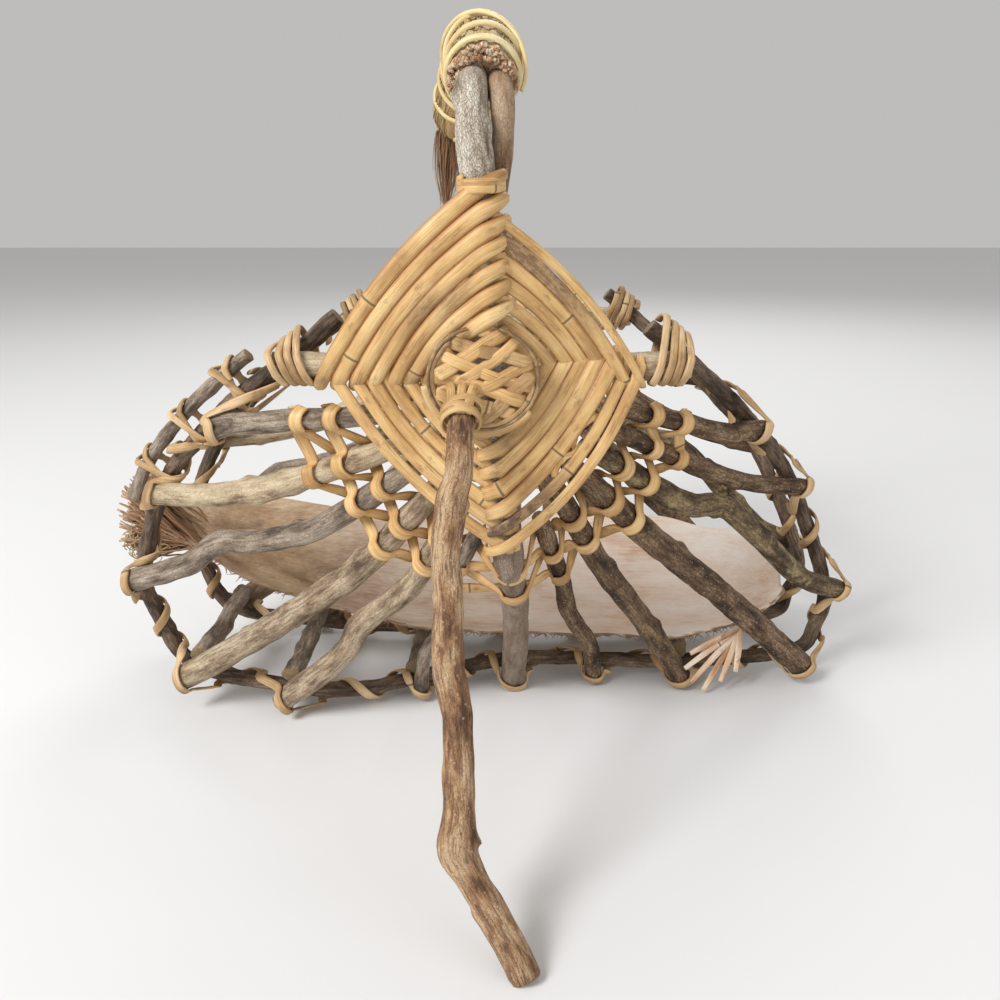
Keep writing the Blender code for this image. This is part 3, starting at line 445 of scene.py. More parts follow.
# y, sideways from the grip's middle, radius; and for the thin end x, y, z from the grip's top, radius
GRIP_STICKS = {FRONT: [(-101, -4.8, 7.0), (-80, -4.9, 6.7), (-40, -5.8, 6.5), (0, -6.4, 6.0),
                       (20, -6.6, 5.6)],
               BACK: [(101, 6.0, 7.0), (80, 6.0, 6.8), (40, 6.2, 6.6), (0, 6.6, 6.3), (-40, 7.0, 5.8),
                      (-80, 7.5, 5.3), (-92, 7.6, 5.2)]}
THIN_END = [(3.6, -98.5, -26.7, 5.2), (4.4, -103.6, -34, 5.1), (4.2, -104.3, -43, 5.0),
            (3.4, -102.3, -53, 4.9), (2.2, -96.4, -62, 4.7), (1.6, -94.0, -70, 4.5)]


def grip_at(y):
    """The middle line of the grip, an arch that leans left at the back; for an array of y."""
    t = np.asarray(y, float) / GRIP_REACH
    return np.stack([GRIP_LEFT - GRIP_LEAN * t - GRIP_SWEEP * t * t, t * GRIP_REACH,
                     HANDLE_Z - GRIP_RISE * t * t], axis=-1)


def grip_frame(y):
    """Places along the grip, with the directions along it, up and to the right across it."""
    ahead = unit(grip_at(np.asarray(y) + 1.0) - grip_at(np.asarray(y) - 1.0))
    right = unit(np.cross(ahead, (0.0, 0.0, 1.0)))
    return grip_at(y), ahead, np.cross(right, ahead), right


def upright_rows(side):
    """Rows of a handle stick, from its end in the grip down behind the diamond and on to the hoop."""
    top_x = HANDLE_X[side]
    rows = [(top_x * 0.8, side * UPRIGHT_OUT, EYE_Z + 84, UPRIGHT_R),
            (top_x, side * UPRIGHT_OUT, HANDLE_Z - 48, UPRIGHT_R - 0.2),
            (top_x - 0.8, side * (UPRIGHT_OUT - 2.5), HANDLE_Z - 37, UPRIGHT_R - 0.4)]
    for y, aside, radius in GRIP_STICKS[side]:
        rows.append((*(grip_at(y) + (aside, 0, 0)), radius))
    if side == BACK:
        rows += [(x, y, HANDLE_Z + z, radius) for x, y, z, radius in THIN_END]
    rows = np.vstack([rows[::-1], (0, side * UPRIGHT_OUT, EYE_Z, UPRIGHT_R), rib_rows("keel", side)])
    return curve(rows, 6)


cracked = stem_bark("cracked grey bark", (0.19, 0.140, 0.095), (0.55, 0.465, 0.37), (0.76, 0.69, 0.58),
                    furrow=0.35, rough=0.85, crackle=0.55, cell=980.0, below=(1.41, (0.27, 0.170, 0.105)))
smooth_brown = stem_bark("smooth brown bark", (0.19, 0.105, 0.052), (0.36, 0.235, 0.135),
                         (0.46, 0.34, 0.23), furrow=0.25, rough=0.6)
stick("upright_front_stick", upright_rows(FRONT), (1, 0, 0), cracked, 31, "upright_front", "bark_grey",
      relief=0.16, wrinkle=0.08, knots=6)
stick("upright_back_stick", upright_rows(BACK), (1, 0, 0), smooth_brown, 37, "upright_back", "bark_brown",
      relief=0.2, wrinkle=0.05, knots=5)

# Crossbars
# A short straight stick lies behind each upright at the diamond's centre; the hoops' tips are lashed to
# its ends with a few turns of narrow cane.
CROSSBAR_R = 6.4
CROSSBAR_OUT = 96.7
CROSSBAR_LEFT, CROSSBAR_RIGHT, CROSSBAR_RISE = -103.0, 92.0, 2.0
LASH_TURNS = 4.0
for side, end in ENDS:
    rows = np.array([(CROSSBAR_LEFT, side * CROSSBAR_OUT, EYE_Z + CROSSBAR_RISE, CROSSBAR_R),
                     (0, side * CROSSBAR_OUT, EYE_Z, CROSSBAR_R),
                     (CROSSBAR_RIGHT, side * CROSSBAR_OUT, EYE_Z + CROSSBAR_RISE, CROSSBAR_R)])
    stick(f"crossbar_{end}_stick", rows, (0, 0, 1), pale, 51 + side, f"crossbar_{end}", "peeled_stick",
          relief=0.2, knots=2)


JOINT_STEP, JOINT_START = 180.0, 40.0    # millimetres between the joints of the cane


def split_cane(name, dark, body, light, rough=0.42):
    """Split cane: fine straight fibres under a skin with some gloss, and a dark joint every JOINT_STEP."""
    material, tree, place, tone = new_material(name)
    fibres = noise(tree, stretched(tree, place, 0.02), 2300, 4, 0.6)
    clouds = noise(tree, stretched(tree, place, 0.35), 60, 4, 0.6)
    stains = noise(tree, stretched(tree, place, 0.5), 210, 6, 0.7)
    colour = ramp(tree, clouds, [(0.39, dark), (0.49, body), (0.60, light)])
    colour = grained(tree, colour, fibres, 0.6, (0.32, 0.24), (0.68, 0.76))
    streaks = noise(tree, stretched(tree, place, 0.03), 1500, 5, 0.65)
    colour = mix(tree, fade(tree, streaks, 0.58, 0.70, 0.0, 0.5), colour, dimmed(dark, 0.40))
    # the strips' edges are darkened to brown: partly the cane's own browner cut edge, partly painted shade
    # in the seams between neighbouring strips
    edge = add(tree, "Math", {0: add(tree, "SeparateXYZ", {"Vector": place}).outputs["Y"]},
               operation="ABSOLUTE").outputs[0]
    edge = fade(tree, edge, 0.0022, 0.0034, 0.0, 0.75)
    colour = mix(tree, edge, colour, dimmed(dark, (0.85, 0.62, 0.45)))
    stained = fade(tree, stains, 0.57, 0.70, 0.0, 0.6)
    colour = mix(tree, stained, colour, dimmed(dark, (0.52, 0.36, 0.36)))
    run = add(tree, "SeparateXYZ", {"Vector": place}).outputs["X"]
    for how, by in (("ADD", JOINT_START), ("FLOORED_MODULO", JOINT_STEP), ("SUBTRACT", JOINT_STEP / 2)):
        run = add(tree, "Math", {0: run, 1: by * MM}, operation=how).outputs[0]
    run = add(tree, "Math", {0: run}, operation="ABSOLUTE").outputs[0]
    joint = fade(tree, run, 0.0003, 0.0008, 0.85, 0.0)
    collar = fade(tree, run, 0.0005, 0.0030, 0.45, 0.0)
    colour = mix(tree, collar, colour, light)
    colour = mix(tree, joint, colour, dimmed(dark, 0.30))
    mottle = noise(tree, stretched(tree, place, 0.45), 420, 5, 0.7)
    old = ramp(tree, mottle, [(0.34, (0.035, 0.020, 0.012)), (0.48, (0.125, 0.068, 0.035)),
                              (0.60, (0.34, 0.21, 0.11))])
    colour = mix(tree, tone, colour, old)
    shine = fade(tree, stains, first=rough - 0.08, last=rough + 0.22)
    return finished(material, colour, shine, fibres, 0.35, 0.0004)


cane = split_cane("golden cane", (0.42, 0.235, 0.085), (0.62, 0.385, 0.15), (0.74, 0.50, 0.23))
old_cane = split_cane("weathered cane", (0.30, 0.18, 0.08), (0.50, 0.32, 0.15), (0.64, 0.45, 0.25), 0.55)


def lath(lines, faces, widths, thick, grain_start, tones, dome=0.35):
    """Flat cane: a rounded oblong section, bulging on its outer side, carried along each line.

    lines and faces have the shape (strips, rows, 3), widths and tones (strips, rows).
    """
    around = 14
    a = circle(around)
    across = np.sign(np.cos(a)) * np.abs(np.cos(a)) ** 0.55
    above = np.sign(np.sin(a)) * np.abs(np.sin(a)) ** 0.7
    ahead = unit(np.gradient(lines, axis=1))
    faces = unit(faces - ahead * (faces * ahead).sum(axis=-1, keepdims=True))
    aside = np.cross(faces, ahead)
    steps = np.linalg.norm(np.diff(lines, axis=1), axis=-1)
    s = np.concatenate([np.zeros((len(lines), 1)), np.cumsum(steps, axis=1)], axis=1)
    run = s + np.asarray(grain_start)[:, None]
    joint = np.exp(-(((run + JOINT_START) % JOINT_STEP - JOINT_STEP / 2) / 1.6) ** 2)
    half = widths / 2 * (1 + 0.07 * joint)
    bulge = np.asarray(dome).reshape(-1, 1, 1) * np.where(above > 0, 1 - across ** 2, 0.0)
    rings = (lines[:, :, None] + aside[:, :, None] * (across * half[..., None])[..., None]
             + faces[:, :, None] * ((above * thick / 2 + bulge) * (1 + 0.2 * joint[..., None]))[..., None])
    grain = np.stack([np.broadcast_to(run[..., None], rings.shape[:-1]), across * half[..., None],
                      np.broadcast_to(above * thick, rings.shape[:-1])], axis=-1)
    tones = np.broadcast_to(np.asarray(tones, float).reshape(len(lines), -1), run.shape)
    return rings, grain, np.broadcast_to(tones[..., None], rings.shape[:-1]).copy()


def hairs(lines, radii, tones, around=5):
    """Fine fibres: a small round section carried along each line, shapes (fibres, rows, 3)."""
    ahead = unit(np.gradient(lines, axis=1))
    aside = unit(np.cross(ahead, (0.31, 0.52, 0.79)))
    up = np.cross(ahead, aside)
    a = circle(around)
    round_ = aside[:, :, None] * np.cos(a)[:, None] + up[:, :, None] * np.sin(a)[:, None]
    rings = lines[:, :, None] + round_ * radii[..., None, None]
    s = np.cumsum(np.linalg.norm(np.diff(lines, axis=1, prepend=lines[:, :1]), axis=-1), axis=1)
    s = np.broadcast_to((s + np.arange(len(lines))[:, None] * 7.7)[..., None], rings.shape[:-1])
    grain = np.stack([s, np.broadcast_to(np.cos(a), s.shape), np.broadcast_to(np.sin(a), s.shape)], axis=-1)
    tones = np.broadcast_to(np.asarray(tones, float).reshape(len(lines), -1, 1), rings.shape[:-1]).copy()
    return rings, grain, tones


def wound(name, line, faces, width, thick, material, node=None, slot=None, tone=0.0, seed=0, dome=0.35):
    """One strip of cane along one line: lath() for a single line, then one object from it."""
    parts = lath(line[None], faces[None], np.full((1, len(line)), width), thick, [seed * 61.0],
                 [[tone]], dome)
    return strands(name, *parts, material, node, slot)


for side, end in ENDS:
    for left, word in ((True, "left"), (False, "right")):
        x = CROSSBAR_LEFT + 9 if left else CROSSBAR_RIGHT - 9
        bar = np.array([x, side * CROSSBAR_OUT, EYE_Z + CROSSBAR_RISE])
        k = int(np.argmin(np.linalg.norm(hoops[side] - bar, axis=1)))
        way = hoop_way(side, k)
        bar_way = np.array([math.copysign(1.0, way[0]), 0.0, 0.0])
        along = unit(way + bar_way)
        hoop = hoops[side][k] + way * (bar - hoops[side][k]).dot(along) / way.dot(along)
        over = unit((hoop - bar) - along * (hoop - bar).dot(along))
        aside = np.cross(along, over)
        a = np.linspace(0, 2 * np.pi * LASH_TURNS, int(LASH_TURNS * 40))[:, None]
        outward = aside * np.sin(a) + over * np.cos(a)
        reach = (CROSSBAR_R + 1.6) / bar_way.dot(along) + 0.6
        advance = (a / (2 * np.pi) - LASH_TURNS / 2) * (3.9 + 0.4 * np.sin(a * 0.37 + side))
        share = 0.5 + 0.5 * np.clip(np.cos(a) * 2.5, -1, 1)
        line = ((bar + bar_way * advance / bar_way.dot(along)) * (1 - share)
                + (hoop + way * advance / way.dot(along)) * share
                + outward * reach)
        wound(f"end_lashing_{end}_{word}_cane", line, outward, 3.6, 1.6, old_cane,
              f"end_lashing_{end}_{word}", "golden_cane", seed=3 + side)

# Woven diamonds
# One flat strip of cane is wound outwards over the four arms: it arrives on top of an arm, is bent round
# behind it and leaves from under its own arrival. The strips bow, differ in width and lie edge to edge.
CANE_T = 1.3
EYE_TURNS = 6
EYE_START = 27.0
EYE_REACH = {"top": 78.5, "left": 77.0, "bottom": 86.0, "right": 71.0}


def eye_arms(side):
    """Direction, way of travel, depth, radius, sideways drift and inward lean of each arm."""
    return [("top", (0, 1), (1, 0), UPRIGHT_OUT, UPRIGHT_R, HANDLE_X[side] * 0.8 / 84, 0.0),
            ("right", (1, 0), (0, -1), CROSSBAR_OUT, CROSSBAR_R, -CROSSBAR_RISE / CROSSBAR_RIGHT, 0.0),
            ("bottom", (0, -1), (-1, 0), UPRIGHT_OUT, UPRIGHT_R, -KEEL_X / KEEL_REACH,
             KEEL_IN / KEEL_REACH),
            ("left", (-1, 0), (0, 1), CROSSBAR_OUT, CROSSBAR_R, -CROSSBAR_RISE / CROSSBAR_LEFT, 0.0)]


def eye_strips(side, seed):
    """Rows of each strip between two arms, its facing, width, tone and bulge."""
    dice = np.random.default_rng(seed)
    arms = eye_arms(side)
    lines, faces, widths, tones, domes = [], [], [], [], []
    for quarter in range(-4, 4 * EYE_TURNS):
        here, there = arms[quarter % 4], arms[(quarter + 1) % 4]
        over = [quarter % 2 == 1 and quarter not in (17, 21), quarter % 2 == 1 or quarter in (16, 20)]
        step = [(EYE_REACH[arm[0]] - EYE_START) / EYE_TURNS for arm in (here, there)]
        reach = EYE_START + step[0] * (quarter / 4 + 0.25) + dice.uniform(-0.7, 0.7)
        arrive = EYE_START + step[1] * (quarter + 1) / 4 + dice.uniform(-0.7, 0.7)
        ends, lows = [], []
        for arm, far in ((here, reach), (there, arrive)):
            axis, travel = np.array(arm[1], float), np.array(arm[2], float)
            ends.append((axis * far + travel * (far * arm[5]), travel))
            lows.append(arm[3] - far * arm[6])
        (start, travel), (stop, travel2) = ends
        outward = unit(np.array(here[1], float) + there[1])
        bow = {"top": 0.34, "right": 0.50 if quarter > 16 else 0.30, "bottom": 0.40, "left": 0.28}[here[0]]
        t = np.array([0.0, 0.1, 0.3, 0.5, 0.7, 0.9, 1.0])
        spots = start + (stop - start) * t[:, None] + outward * (bow * (reach + 4) * t * (1 - t))[:, None]
        lifts = [0.6 + (CANE_T + 1.0) * flag for flag in over]
        first, last = lows[0] + here[4] + lifts[0], lows[1] + there[4] + lifts[1]
        depth = first + (last - first) * t
        # over an arm the end is bent down round it; under another strip it lies on the arm
        bend = np.radians([26, 54, 82, 108])
        out = np.array([1.5, 3.0, 4.5, 6.0])
        pieces = []
        for k, (arm, way, middle, edge) in enumerate(((here, travel, start, first),
                                                      (there, travel2, stop, last))):
            axis, sign = np.array(arm[1], float), 2 * k - 1
            if over[k]:
                radius = arm[4] + lifts[k]
                spot = middle + (way * sign + 0.55 * axis) * (radius * np.sin(bend))[:, None]
                level = lows[k] + radius * np.cos(bend)
                facing = (np.sin(bend)[:, None] * sign * np.array([way[0], 0, way[1]])
                          + np.cos(bend)[:, None] * np.array([0.0, side, 0.0]))
            else:
                spot, level = middle + way * sign * out[:, None], edge - 0.12 * out ** 1.5
                facing = np.tile([0.0, side, 0.0], (4, 1))
            pieces.append([v if k else v[::-1] for v in (spot, level, facing)])
        spots = np.vstack([pieces[0][0], spots, pieces[1][0]])
        depth = np.concatenate([pieces[0][1], depth, pieces[1][1]])
        face = np.vstack([pieces[0][2], np.tile([0.0, side, 0.0], (7, 1)), pieces[1][2]])
        fill = {"top": 0.75, "right": 0.62 if quarter > 16 else 0.84, "bottom": 0.70, "left": 0.90}[here[0]]
        if quarter == 20:
            fill = 0.5
        width = min(7.9, 0.5 * (step[0] + step[1]) * fill * dice.uniform(0.94, 1.06))
        lines.append(np.column_stack([spots[:, 0], side * depth, EYE_Z + spots[:, 1]]))
        faces.append(face)
        taper = [0.62, 0.75, 0.85, 0.93, 0.97, 1, 1, 1, 1, 1, 0.97, 0.93, 0.85, 0.75, 0.62]
        widths.append(width * np.array(taper)
                      * (1 + 0.05 * np.sin(np.arange(15) * 0.8 + dice.uniform(0, 6))))
        domes.append({"left": 1.5, "top": 0.4, "right": 0.5, "bottom": 0.6}[here[0]])
        where = np.arange(15)
        if quarter == 16:
            stain = np.interp(where, (0, 3, 7, 9), (0.8, 1.0, 0.7, 0.0))
        elif quarter == 17:
            stain = np.interp(where, (7, 9, 14), (0.0, 0.9, 1.0))
        elif dice.random() < 0.5:
            stain = 0.5 * np.exp(-((where - dice.integers(2, 13)) / 0.9) ** 2)
        else:
            stain = np.zeros(15)
        tones.append(stain)
    return [np.array(v) for v in (lines, faces, widths, tones, domes)]


for side, end in ENDS:
    lines, faces, widths, tones, domes = eye_strips(side, 71 + side)
    rows = finer(np.concatenate([lines, faces, widths[..., None], tones[..., None]], axis=-1), 7)
    # the last strip goes twice round the arm as a wide collar; at the front it cuts through the thin end
    turn = np.linspace(-0.6, 3.7, 89)[:, None] * np.pi
    ring = np.hstack([HANDLE_X[side] * 0.8 + 1.4 + 9.2 * np.sin(turn),
                      side * (UPRIGHT_OUT - 2 + (UPRIGHT_R + 7.4) * np.cos(turn)),
                      EYE_Z + 79.4 + 0.95 * turn / np.pi])
    around = np.hstack([np.sin(turn), side * np.cos(turn), 0 * turn])
    size = np.full((1, len(ring)), 4.2)
    starts = np.random.default_rng(5 + side).uniform(0, JOINT_STEP, len(lines))
    groups = [lath(rows[..., :3], rows[..., 3:6], rows[..., 6], CANE_T, starts,
                   np.clip(rows[..., 7], 0, 1), domes),
              lath(ring[None], around[None], size, CANE_T, [20.0], [[0.0]], 0.9)]
    strands(f"gods_eye_{end}_cane", *groups[0], cane, f"gods_eye_{end}", "golden_cane")
    strands(f"gods_eye_{end}_collar", *groups[1], cane, f"gods_eye_{end}", "golden_cane")

# Legs
# A crooked stick props up each end. Its top is bound into the pad, its foot is cut flat on the ground.
LEGS = {FRONT: [(-13.6, 124.5, 197.5, 6.6), (-14.2, 138, 189, 7.2), (-14, 151, 175, 7.3),
                (-17.6, 157, 165, 8.0), (-18.4, 162, 156, 7.6), (-19.2, 170, 142, 7.2),
                (-18.4, 179, 124, 7.3), (-17.8, 190, 105, 7.6), (-17, 193, 99, 7.8),
                (-14.4, 199, 88, 7.0), (-13.6, 206, 74, 7.4), (-13.2, 216, 56, 7.4),
                (-13.8, 221.8, 46.5, 8.9), (-13.2, 224.5, 41, 8.9), (-9.2, 227.8, 34.6, 7.5),
                (-3, 232.5, 25.5, 7.2), (8.2, 241, 9, 7.2), (12.7, 244.6, 0.3, 7.3)],
        BACK: [(6, 125.2, 204, 6.6), (9, 140, 194, 7.2), (12, 152, 174, 7.5), (9, 163, 154, 7.2),
               (3, 172, 136, 7.9), (4, 181, 118, 7.2), (8, 192, 98, 7.4), (10, 203, 76, 7.8),
               (5, 212, 60, 7.3), (-4, 221, 42, 7.5), (-8, 232, 24, 7.4), (-6, 241, 8, 7.4),
               (-5.3, 243.8, 0.3, 7.4)]}
leg_bark = stem_bark("speckled leg bark", (0.085, 0.036, 0.016), (0.34, 0.180, 0.082), (0.60, 0.41, 0.24),
                     furrow=0.7, specks=0.5, rough=0.72, crackle=0.22, cell=820.0)
for side, end in ENDS:
    rows = curve(np.array(LEGS[side]) * (1, side, 1, 0.93), 4)
    rows[:, 3] *= np.interp(np.arange(len(rows)), (0, 12, 24), (0.86, 0.89, 0.93))
    stick(f"leg_{end}_stick", rows, (1, 0, 0), leg_bark, 301 + side, f"leg_{end}", "leg_bark",
          knots=12, relief=0.28, wrinkle=0.1, ground=True)

# Pads
# Short strips are woven criss-cross over the crossing of the arms. They hold the top of the leg.
for side, end in ENDS:
    dice = np.random.default_rng(91 + side)
    lines, faces, widths, tones = [], [], [], []

    def strip(line, face, width, tone):
        """Notes one strip of the pad, 33 rows long, with one width and one tone."""
        lines.append(line)
        faces.append(np.broadcast_to(face, line.shape))
        widths.append(np.broadcast_to(width, 33))
        tones.append(np.full(33, tone))

    for way, lean, count, pitch in ((1, -19, 4, 8.6), (-1, 38, 4, 9.0)):
        for k in range(count):
            angle = np.radians(lean * side * -1) + dice.uniform(-0.13, 0.13)
            along = np.array([np.cos(angle), np.sin(angle)])
            across = np.array([-np.sin(angle), np.cos(angle)])
            offset = (k - (count - 1) / 2) * pitch + dice.uniform(-0.8, 0.8)
            half = math.sqrt(24.5 ** 2 - min(abs(offset), 20.0) ** 2)
            q = np.linspace(-half, half, 33)
            wave = 0.75 * np.cos(np.pi * (q / 8.8 + 1.5 + k)) * way
            edge = 5.0 * np.clip((np.abs(q) - half + 6) / 6, 0, 1) ** 2
            spot = along * q[:, None] + across * (offset + 0.9 * np.sin(q / 9 + k * 2.1))[:, None]
            strip(np.column_stack([spot[:, 0] - 4.5, side * (UPRIGHT_OUT + 10.0 + wave - edge),
                                   EYE_Z + spot[:, 1] * 0.92]), (0.0, side, 0.0),
                  dice.uniform(5.2, 6.6), 0.4 if dice.random() < 0.35 else 0.0)
    # thin strands ring the pad
    for size, tone, width, begin, stop in ((24.5, 0.8, 1.8, 0.3, 6.0), (26.3, 0.2, 3.4, 2.2, 4.6),
                                           (22.5, 0.55, 2.2, 1.7, 5.6)):
        turn = np.linspace(begin, stop, 33)
        strip(np.column_stack([-4.5 + size * np.sin(turn),
                               side * (UPRIGHT_OUT + 9.6 + 0.4 * np.sin(turn * 3)),
                               EYE_Z + size * 0.94 * np.cos(turn)]), (0.0, side, 0.0), width, tone)
    # strips tie the leg's top on to the pad: three run down over it, three go round it
    top, below = (np.array(row[:3]) * (1, side, 1) for row in LEGS[side][:2])
    ahead = unit(below - top)
    right = unit(np.cross(ahead, (0.0, 0.0, 1.0)))
    up = np.cross(right, ahead)
    for k in (-1, 0, 1):
        path = [top - ahead * 8 + up * 4.4, top - ahead * 3 + up * 6.8, top + ahead * 3 + up * 7.4,
                top + ahead * 9 + up * 7.2, top + ahead * 12 + up * 6.8]
        line = curve([spot + right * (k * 4.2 * f) for spot, f in zip(path, (1.6, 1.2, 1, 0.8, 0.7))], 8)
        strip(line, up + right * k * 0.55, 4.4, 0.25 + 0.15 * k)
    for s, lean, reach in ((4.0, 0.35, 8.6), (8.0, -0.3, 8.3), (10.5, 0.15, 8.1)):
        turn = np.linspace(-2.2, 2.2, 33)[:, None]
        outward = up * np.cos(turn) + right * np.sin(turn)
        strip(top + ahead * (s + lean * 6 * np.sin(turn)) + outward * reach, outward, 3.9, 0.3)
    starts = dice.uniform(0, JOINT_STEP, len(lines))
    parts = lath(np.array(lines), np.array(faces), np.array(widths), 1.1, starts, np.array(tones), 0.5)
    strands(f"eye_pad_{end}_cane", *parts, cane, f"eye_pad_{end}", "golden_cane")

# Rows of weaving
# Below each diamond four rows of flat cane run over and under the ribs, one row out of step with the next.
ROW_FIRST, ROW_STEP, ROWS = 9.0, 8.2, 4


def rib_at(rib, side, reach):
    """Centre, radius and direction of a rib at a distance from the diamond's centre."""
    radii = RIBS[rib][3]
    inner, far = rib_ends(rib, side)[:2]
    t = np.linspace(0, 1, 200)
    spots = inner + (far - inner) * t[:, None]
    k = int(np.argmin(np.abs(np.hypot(spots[:, 0], spots[:, 2] - EYE_Z) - reach)))
    radius = np.interp(t[k], (0, 0.35, 1), (radii[0], radii[0] * 0.35 + radii[1] * 0.65, radii[1]))
    return spots[k], radius, unit(far - inner)


for side, end in ENDS:
    for row in range(ROWS):
        rows = []
        for k, rib in enumerate(ORDER):
            reach = 68.0 + 20.0 * math.exp(-(RIBS[rib][1] / 26.0) ** 2) + ROW_FIRST + ROW_STEP * row
            if reach < RIBS[rib][2] + 4:
                continue
            centre, radius, along = rib_at(rib, side, reach)
            front = front_of(along, side)
            right = np.cross(along, front) * side
            over = (k + row) % 2 == 0
            turn = np.radians([-74, -37, 0, 37, 74] if over else [-62, 0, 62])[:, None]
            outward = (front if over else -front) * np.cos(turn) + right * np.sin(turn)
            spots = centre + outward * (radius + 1.5) + along * (5.0 if over else -1.5) * np.cos(turn)
            rows.append(np.column_stack([spots, np.broadcast_to(along, spots.shape)]))
        rows = curve(np.vstack(rows), 6)
        line = rows[:, :3]
        faces = unit(np.cross(rows[:, 3:6], np.gradient(line, axis=0))) * side
        wound(f"weaver_{end}_{row + 1}_cane", line, faces, 6.9, 1.2, cane, f"weaver_{end}_{row + 1}",
              "golden_cane", seed=row + 5 * side, dome=0.15)

# Hoop lacings
# A narrow strip of cane is twined along each hoop; at every rib it crosses over the rib's end and ties it.
LACE_PITCH, LACE_START = 34.0, 26.0


def lacing_rows(side):
    """Rows of point and outward direction of a lacing.

    Between two ribs it winds round the hoop at an even pace, half a turn more than a whole number.
    At a rib it crosses over the rib's end, half a turn round it in five points.
    """
    line = hoops[side]
    far = distances(line)

    def seat_at(s):
        """The hoop's point at s along it, its direction, and arrows to the front and outwards."""
        spot, ahead, behind = (np.array([np.interp(s + d, far, line[:, k]) for k in range(3)])
                               for d in (0, 2, -2))
        along = unit(ahead - behind)
        front = front_of(along, side)
        return spot, along, front, np.cross(along, front)

    hug = HOOP_R + 1.7
    marks = [(far[PER] + LACE_START, 0, [])]
    for rib in ORDER:
        s = far[list(STATIONS).index(rib) * PER]
        _, _, seat, normal = rib_ends(rib, side)
        rows = rib_rows(rib, side)
        rod = unit(rows[-1, :3] - rows[-2, :3])
        normal = unit(normal - rod * normal.dot(rod))
        _, along, front, radial = seat_at(s)
        beside = unit(np.cross(normal, rod)) * math.copysign(1, np.cross(normal, rod).dot(along))
        outer = math.copysign(1, rod.dot(radial))
        reach = RIBS[rib][3][2] + 1.5
        half = (reach + 1 + hug * abs(rod.dot(along))) / abs(rod.dot(radial))
        turns = np.radians([-90, -45, 0, 45, 90])[:, None]
        outwards = beside * np.sin(turns) + normal * np.cos(turns)
        marks.append((s, half, list(zip(seat + outwards * reach + rod * (outer * 2.0 * np.sin(turns)),
                                        outwards))))
    marks.append((far[-1 - PER] - LACE_START, 0, []))
    rows = []
    for (s, half, over), (s_next, half_next, _) in zip(marks, marks[1:]):
        if over:
            spot, _, front, radial = seat_at(s - half)
            rows += [(*(spot - radial * hug), *-radial),
                     (*(spot + (front * 0.9 - radial) * hug), *(front - radial))]
            rows += [(*spot, *outward) for spot, outward in over]
            spot, _, front, radial = seat_at(s + half)
            rows.append((*(spot + (front * 0.9 + radial) * hug), *(front + radial)))
        s0, s1 = s + half, s_next - half_next
        turns = 0.5 + max(0, round((s1 - s0) / LACE_PITCH - 0.5))
        count = max(4, int(round(turns * 8)))
        for k in range(count):
            a = math.radians(90 + 360 * turns * k / count)
            spot, _, front, radial = seat_at(s0 + (s1 - s0) * k / count)
            outward = front * math.cos(a) + radial * math.sin(a)
            rows.append((*(spot + outward * hug), *outward))
    return np.array(rows)


for side, end in ENDS:
    rows = curve(lacing_rows(side), 5)
    rows[:, 2] = np.maximum(rows[:, 2], 1.2)
    wound(f"hoop_lacing_{end}_cane", rows[:, :3], unit(rows[:, 3:6]), 5.0, 1.3, old_cane,
          f"hoop_lacing_{end}", "weathered_cane", seed=9 + side)

# Second rod
# A thinner rod runs beside the front hoop at the upper left.
ROD_R = 3.4
line = hoops[FRONT][17:list(STATIONS).index("left_3") * PER - 8]
ahead = unit(np.gradient(line, axis=0))
away = unit(np.cross(ahead, (0.0, FRONT, 0.0)))
away *= np.sign((away * (-1, 0, 1)).sum(axis=1))[:, None]
rows = np.column_stack([line + away * (HOOP_R + 3.0 + 0.6 + ROD_R + 1.4), np.full(len(line), ROD_R)])
stick("hoop_rod_front_vine", rows, (0, 1, 0), grey, 401, "hoop_rod_front", "dark_vine", relief=0.15,
      wrinkle=0.1, knots=4)
# three crossed lashings of cane hold the rod to the hoop
lines, faces = [], []
for where in (0.16, 0.47, 0.80):
    k = int(where * (len(line) - 1))
    front = np.cross(ahead[k], away[k])
    front *= math.copysign(1, front[1] * FRONT)
    for slant in (1, -1):
        a = np.linspace(0, 2 * np.pi, 49)[:, None]
        outward = away[k] * np.cos(a) + front * np.sin(a)
        share = 0.5 + 0.5 * np.clip(np.cos(a) * 2.5, -1, 1)
        hug = (HOOP_R + 1.5) * (1 - share) + (ROD_R + 1.2) * share + (0.9 if slant > 0 else 0.0)
        lines.append(line[k] * (1 - share) + rows[k, :3] * share + outward * hug
                     + ahead[k] * (slant * 6.0) * np.cos(a))
        faces.append(outward)
parts = lath(np.array(lines), np.array(faces), np.full((6, 49), 3.9), 1.3, np.arange(6) * 37.0,
             np.zeros((6, 1)))
strands("rod_lashings", *parts, old_cane, None, "golden_cane")

# Floor sticks
# Four short sticks lie across the two hoops along the bottom and carry the liner.
FLOOR_R = 5.4
FLOOR_AT = ("left_4", "left_5", "left_6", "right_5")
for number, station in enumerate(FLOOR_AT):
    ends = []
    for side, _ in ENDS:
        spot, along = hoop_at(side, station)
        inward = unit(np.cross(along, (0.0, 1.0, 0.0)))
        inward *= math.copysign(1, inward.dot(np.array([0.0, 0.0, 110.0]) - spot))
        ends.append(spot + inward * (HOOP_R + FLOOR_R + 0.5))
    reach = unit(ends[0] - ends[1]) * 5.0
    rows = [(*(ends[0] + reach), FLOOR_R),
            (*(ends[0] * 0.6 + ends[1] * 0.4 + (1.0, 0.0, -0.8)), FLOOR_R * 0.95),
            (*(ends[1] - reach), FLOOR_R)]
    stick(f"floor_stick_{number + 1}_stick", curve(rows, 6), (0, 0, 1), grey, 501 + number,
          f"floor_stick_{number + 1}", "bark_grey")

# Grip
# A sleeve of palm husk is laid round the bent sticks and wound with thin cane. Its near end shows the cut
# fibres; its loose far end hangs down on the left.
HUSK_R = 16.8


